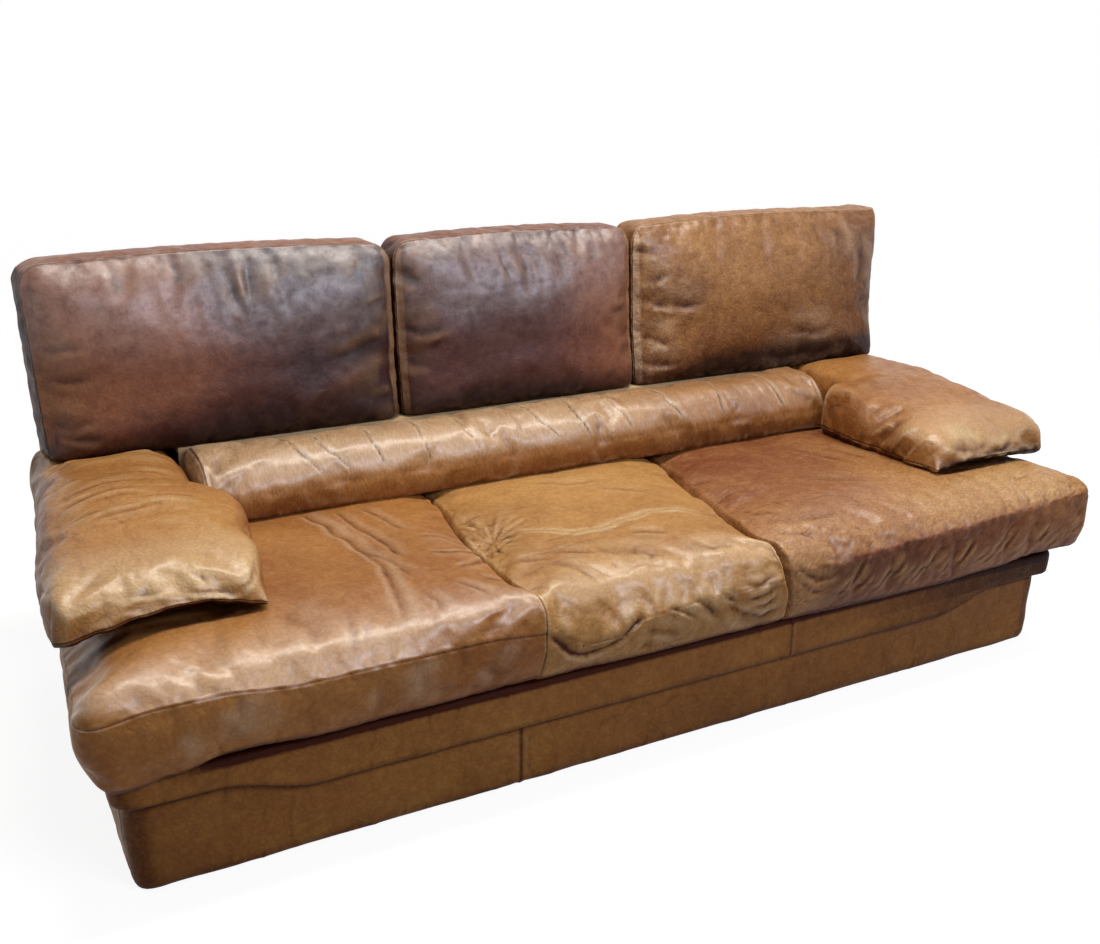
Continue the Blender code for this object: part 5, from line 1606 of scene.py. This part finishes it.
outsidePlan = {
    "tone": 0.45,
    "panelFront": 0.4440,
    "panelInset": 0.004,           # at each end, so that the border shows round it
    "panelSeams": (-0.337, 0.337),
    "borderFoot": 0.4104,
    "borderRear": 0.4438,
    "inset": 0.0103,               # of the border's inner side from the outside back's own outline
    "pinch": (0.75, 0.66, 0.48),   # share that the border loses low on the left, and between which heights
    "topGap": 0.0015,
}


def slab(name, low, high, cell, radii, seed, node, wobble=0.002, seams=()):
    piece = gridBlock(name, tuple(placesAlong((low[i], cell), high[i]) for i in range(3)))
    writePoints(piece.data, rounded(readPoints(piece.data), radii))
    refined(piece)
    leather = begin(piece)
    points = leather["points"]
    leather["hidden"] = leather["unit"][:, 1] < -0.997
    weather(leather, wobble, 0.14, seed, 1.0, (0.06, 0.06, 0.06), 0.0008)
    leather["shift"] -= wobble * 0.5
    for seamX in seams:
        sewnLine(leather, np.abs(points[:, 0] - seamX))
    apply(leather)
    leather["tone"][:] = outsidePlan["tone"]
    complete(leather, "plinth", [node])


def outsideBack():
    # The padded panel behind, and the border that folds round the posts and over the top rail
    plan = outsidePlan
    low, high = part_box("outside_back")
    first = (low[0] + plan["panelInset"], plan["panelFront"], low[2])
    last = (high[0] - plan["panelInset"], high[1], high[2])
    radii = [(0.010, 0.010), (0.003, 0.012), (0.004, 0.010)]
    slab("outsideBackPanel", first, last, 0.020, radii, 191, "outside_back", 0.0012, plan["panelSeams"])
    foot, depth = plan["borderFoot"], plan["borderRear"] - low[1]
    rise, width = high[2] - foot, high[0] - low[0]
    total = 2 * rise + width
    grid = (placesAlong((0.0, 0.016), total), placesAlong((0.0, 0.014), depth),
            placesAlong((0.0, 0.005), 0.010))
    piece = gridBlock("outsideBackBorder", grid)
    s, across, thick = rounded(readPoints(piece.data), [(0.002, 0.002), (0.004, 0.002), (0.001, 0.004)]).T
    level = foot + np.minimum(np.minimum(s, total - s), rise)
    share, start, end = plan["pinch"]
    inset = plan["inset"] - thick * (1 - share * smoothStep(start, end, level) * (s < total / 2))
    x = np.clip(low[0] + np.clip(s - rise, 0, width), low[0] + inset, high[0] - inset)
    z = np.minimum(level, high[2] - plan["topGap"] - inset)
    writePoints(piece.data, np.stack([x, low[1] + across, z], axis=1))
    refined(piece)
    leather = begin(piece)
    leather["tone"][:] = plan["tone"]
    leather["shift"] += 0.0008 * cloudy(leather["points"], 0.08, 195) - 0.0006
    apply(leather)
    complete(leather, "plinth", ["outside_back"])


for node, radii in (("back_wing_left", (0.010, 0.002)), ("back_wing_right", (0.002, 0.010))):
    low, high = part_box(node)
    slab(pieceName(node), low, high, 0.012, [radii, (0.004, 0.004), (0.004, 0.004)], 181, node)
outsideBack()


# Cloths under the cushions and under the plinth

blackTones = ((0.15, "161514"), (0.95, "33302e"))
blackCloth = plainMaterial("spunbondCloth", blackTones, 1 / 60, roughness=0.85, weave=1.2)
clothPlan = {
    "deck_cloth": {"corner": 0.0, "on": ["cross_strap_front", "cross_strap_back"]},
    "dust_cloth": {"corner": 0.021, "on": ["plinth_front_board", "plinth_back_board"]},
}


def clothSheet(node, corner):
    low, high = np.array(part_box(node))
    across, along = (placesAlong((low[axis], 0.035), high[axis]) for axis in (0, 1))
    piece = gridBlock(pieceName(node), (across, along, np.array([low[2], high[2]])))
    mesh = piece.data
    points = readPoints(mesh)
    core = np.clip(points[:, :2], low[:2] + corner, high[:2] - corner)
    off = points[:, :2] - core
    length = np.maximum(np.linalg.norm(off, axis=1, keepdims=True), 1e-9)
    points[:, :2] = core + off * np.minimum(1, corner / length)
    writePoints(mesh, points)
    mesh.attributes.remove(mesh.attributes["unit"])
    finishPiece(piece, blackCloth, [node])


for node, plan in clothPlan.items():
    clothSheet(node, plan["corner"])


# CAD nodes that stay: timber, boards, webbing and glides

alongX = (0.06, 1.0, 1.0)  # the grain of a board is drawn out along it
beechTones = ((0.42, "d3ae7c"), (0.80, "a97c4d"))
finishes = [  # the words that pick a node, in this order, and its material
    (("lumbar_board", "lumbar_shelf"),
     plainMaterial("birchPlywood", ((0.42, "d9bd92"), (0.80, "b48e5d")), 0.014, alongX)),
    (("support_panel",),
     plainMaterial("temperedHardboard", ((0.42, "8f6844"), (0.80, "6d4a2e")), 0.0025)),
    (("strap",),
     plainMaterial("elasticWebbing", ((0.15, "25221f"), (0.95, "57524a")), 1 / 60, roughness=0.85,
                   weave=1.8)),
    (("glide",),
     plainMaterial("mouldedGlide", ((0.45, "191817"), (0.85, "4a4743")), 1 / 140, roughness=0.48)),
]
beech = [plainMaterial("planedBeech" + "XYZ"[axis], beechTones, 0.009, np.roll(alongX, axis))
         for axis in range(3)]
for nodeName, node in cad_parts.items():
    low, high = np.array(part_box(nodeName))
    material = next((m for words, m in finishes if any(word in nodeName for word in words)), None)
    node.data.materials.clear()
    node.data.materials.append(material or beech[int(np.argmax(high - low))])
report("frame finishes")


# Floor and light

stage = {
    "floor": "8c8c8c",
    "glow": 0.88,    # added to the floor where the camera sees it
    "sky": 1.0,      # white of the world where the camera sees it
    "fill": 0.20,    # and its light on the sofa
    "reach": 16.0,
    "overhead": {"place": (0.30, -0.32, 2.65), "size": (2.5, 0.50), "power": 55, "tint": "fffaf2"},
    "window": {"place": (0.80, -3.10, 2.50), "size": (2.1, 0.50), "power": 54, "tint": "dfe9ff"},
}


def seenShare(tree):
    # 1 for what the camera sees, also by reflection or through glass, and 0 for the light on the sofa
    rays = addNode(tree, "LightPath").outputs
    seen = summed(tree, rays["Is Camera Ray"], rays["Is Glossy Ray"])
    return summed(tree, seen, rays["Is Transmission Ray"], clamp=True)


def makeFloor():
    # A wide floor, white to the camera, on which the sofa's shadow stays
    shape = bmesh.new()
    bmesh.ops.create_grid(shape, x_segments=1, y_segments=1, size=stage["reach"])
    mesh = bpy.data.meshes.new("floor")
    shape.to_mesh(mesh)
    shape.free()
    floor = bpy.data.objects.new("floor", mesh)
    scene.collection.objects.link(floor)
    material, tree, shader, _ = newMaterial("palePaintedFloor", Roughness=0.9,
                                            Base_Color=linearColour(stage["floor"]))
    glow = addNode(tree, "Emission", {"Color": (1, 1, 1, 1),
                                      "Strength": summed(tree, seenShare(tree), stage["glow"], "MULTIPLY")})
    both = addNode(tree, "AddShader", {0: shader.outputs[0], 1: glow.outputs[0]})
    output = next(n for n in tree.nodes if n.type == "OUTPUT_MATERIAL")
    tree.links.new(both.outputs[0], output.inputs["Surface"])
    mesh.materials.append(material)


def makeWorld():
    world = bpy.data.worlds.new("studio")
    world.use_nodes = True
    tree = world.node_tree
    background = next(n for n in tree.nodes if n.type == "BACKGROUND")
    background.inputs["Color"].default_value = (1, 1, 1, 1)
    extra = summed(tree, seenShare(tree), stage["sky"] - stage["fill"], "MULTIPLY")
    tree.links.new(summed(tree, extra, stage["fill"]), background.inputs["Strength"])
    scene.world = world


def makeLight(name, aim):
    plan = stage[name]
    data = bpy.data.lights.new(name, "AREA")
    data.shape = "RECTANGLE"
    data.size, data.size_y = plan["size"]
    data.energy = plan["power"]
    data.color = linearColour(plan["tint"])[:3]
    light = bpy.data.objects.new(name, data)
    light.location = plan["place"]
    light.rotation_euler = (Vector(aim) - light.location).to_track_quat("-Z", "Y").to_euler()
    scene.collection.objects.link(light)


makeFloor()
makeWorld()
makeLight("overhead", (0.30, -0.34, 0.0))
makeLight("window", (-0.2, 0.1, 0.6))
report("stage")
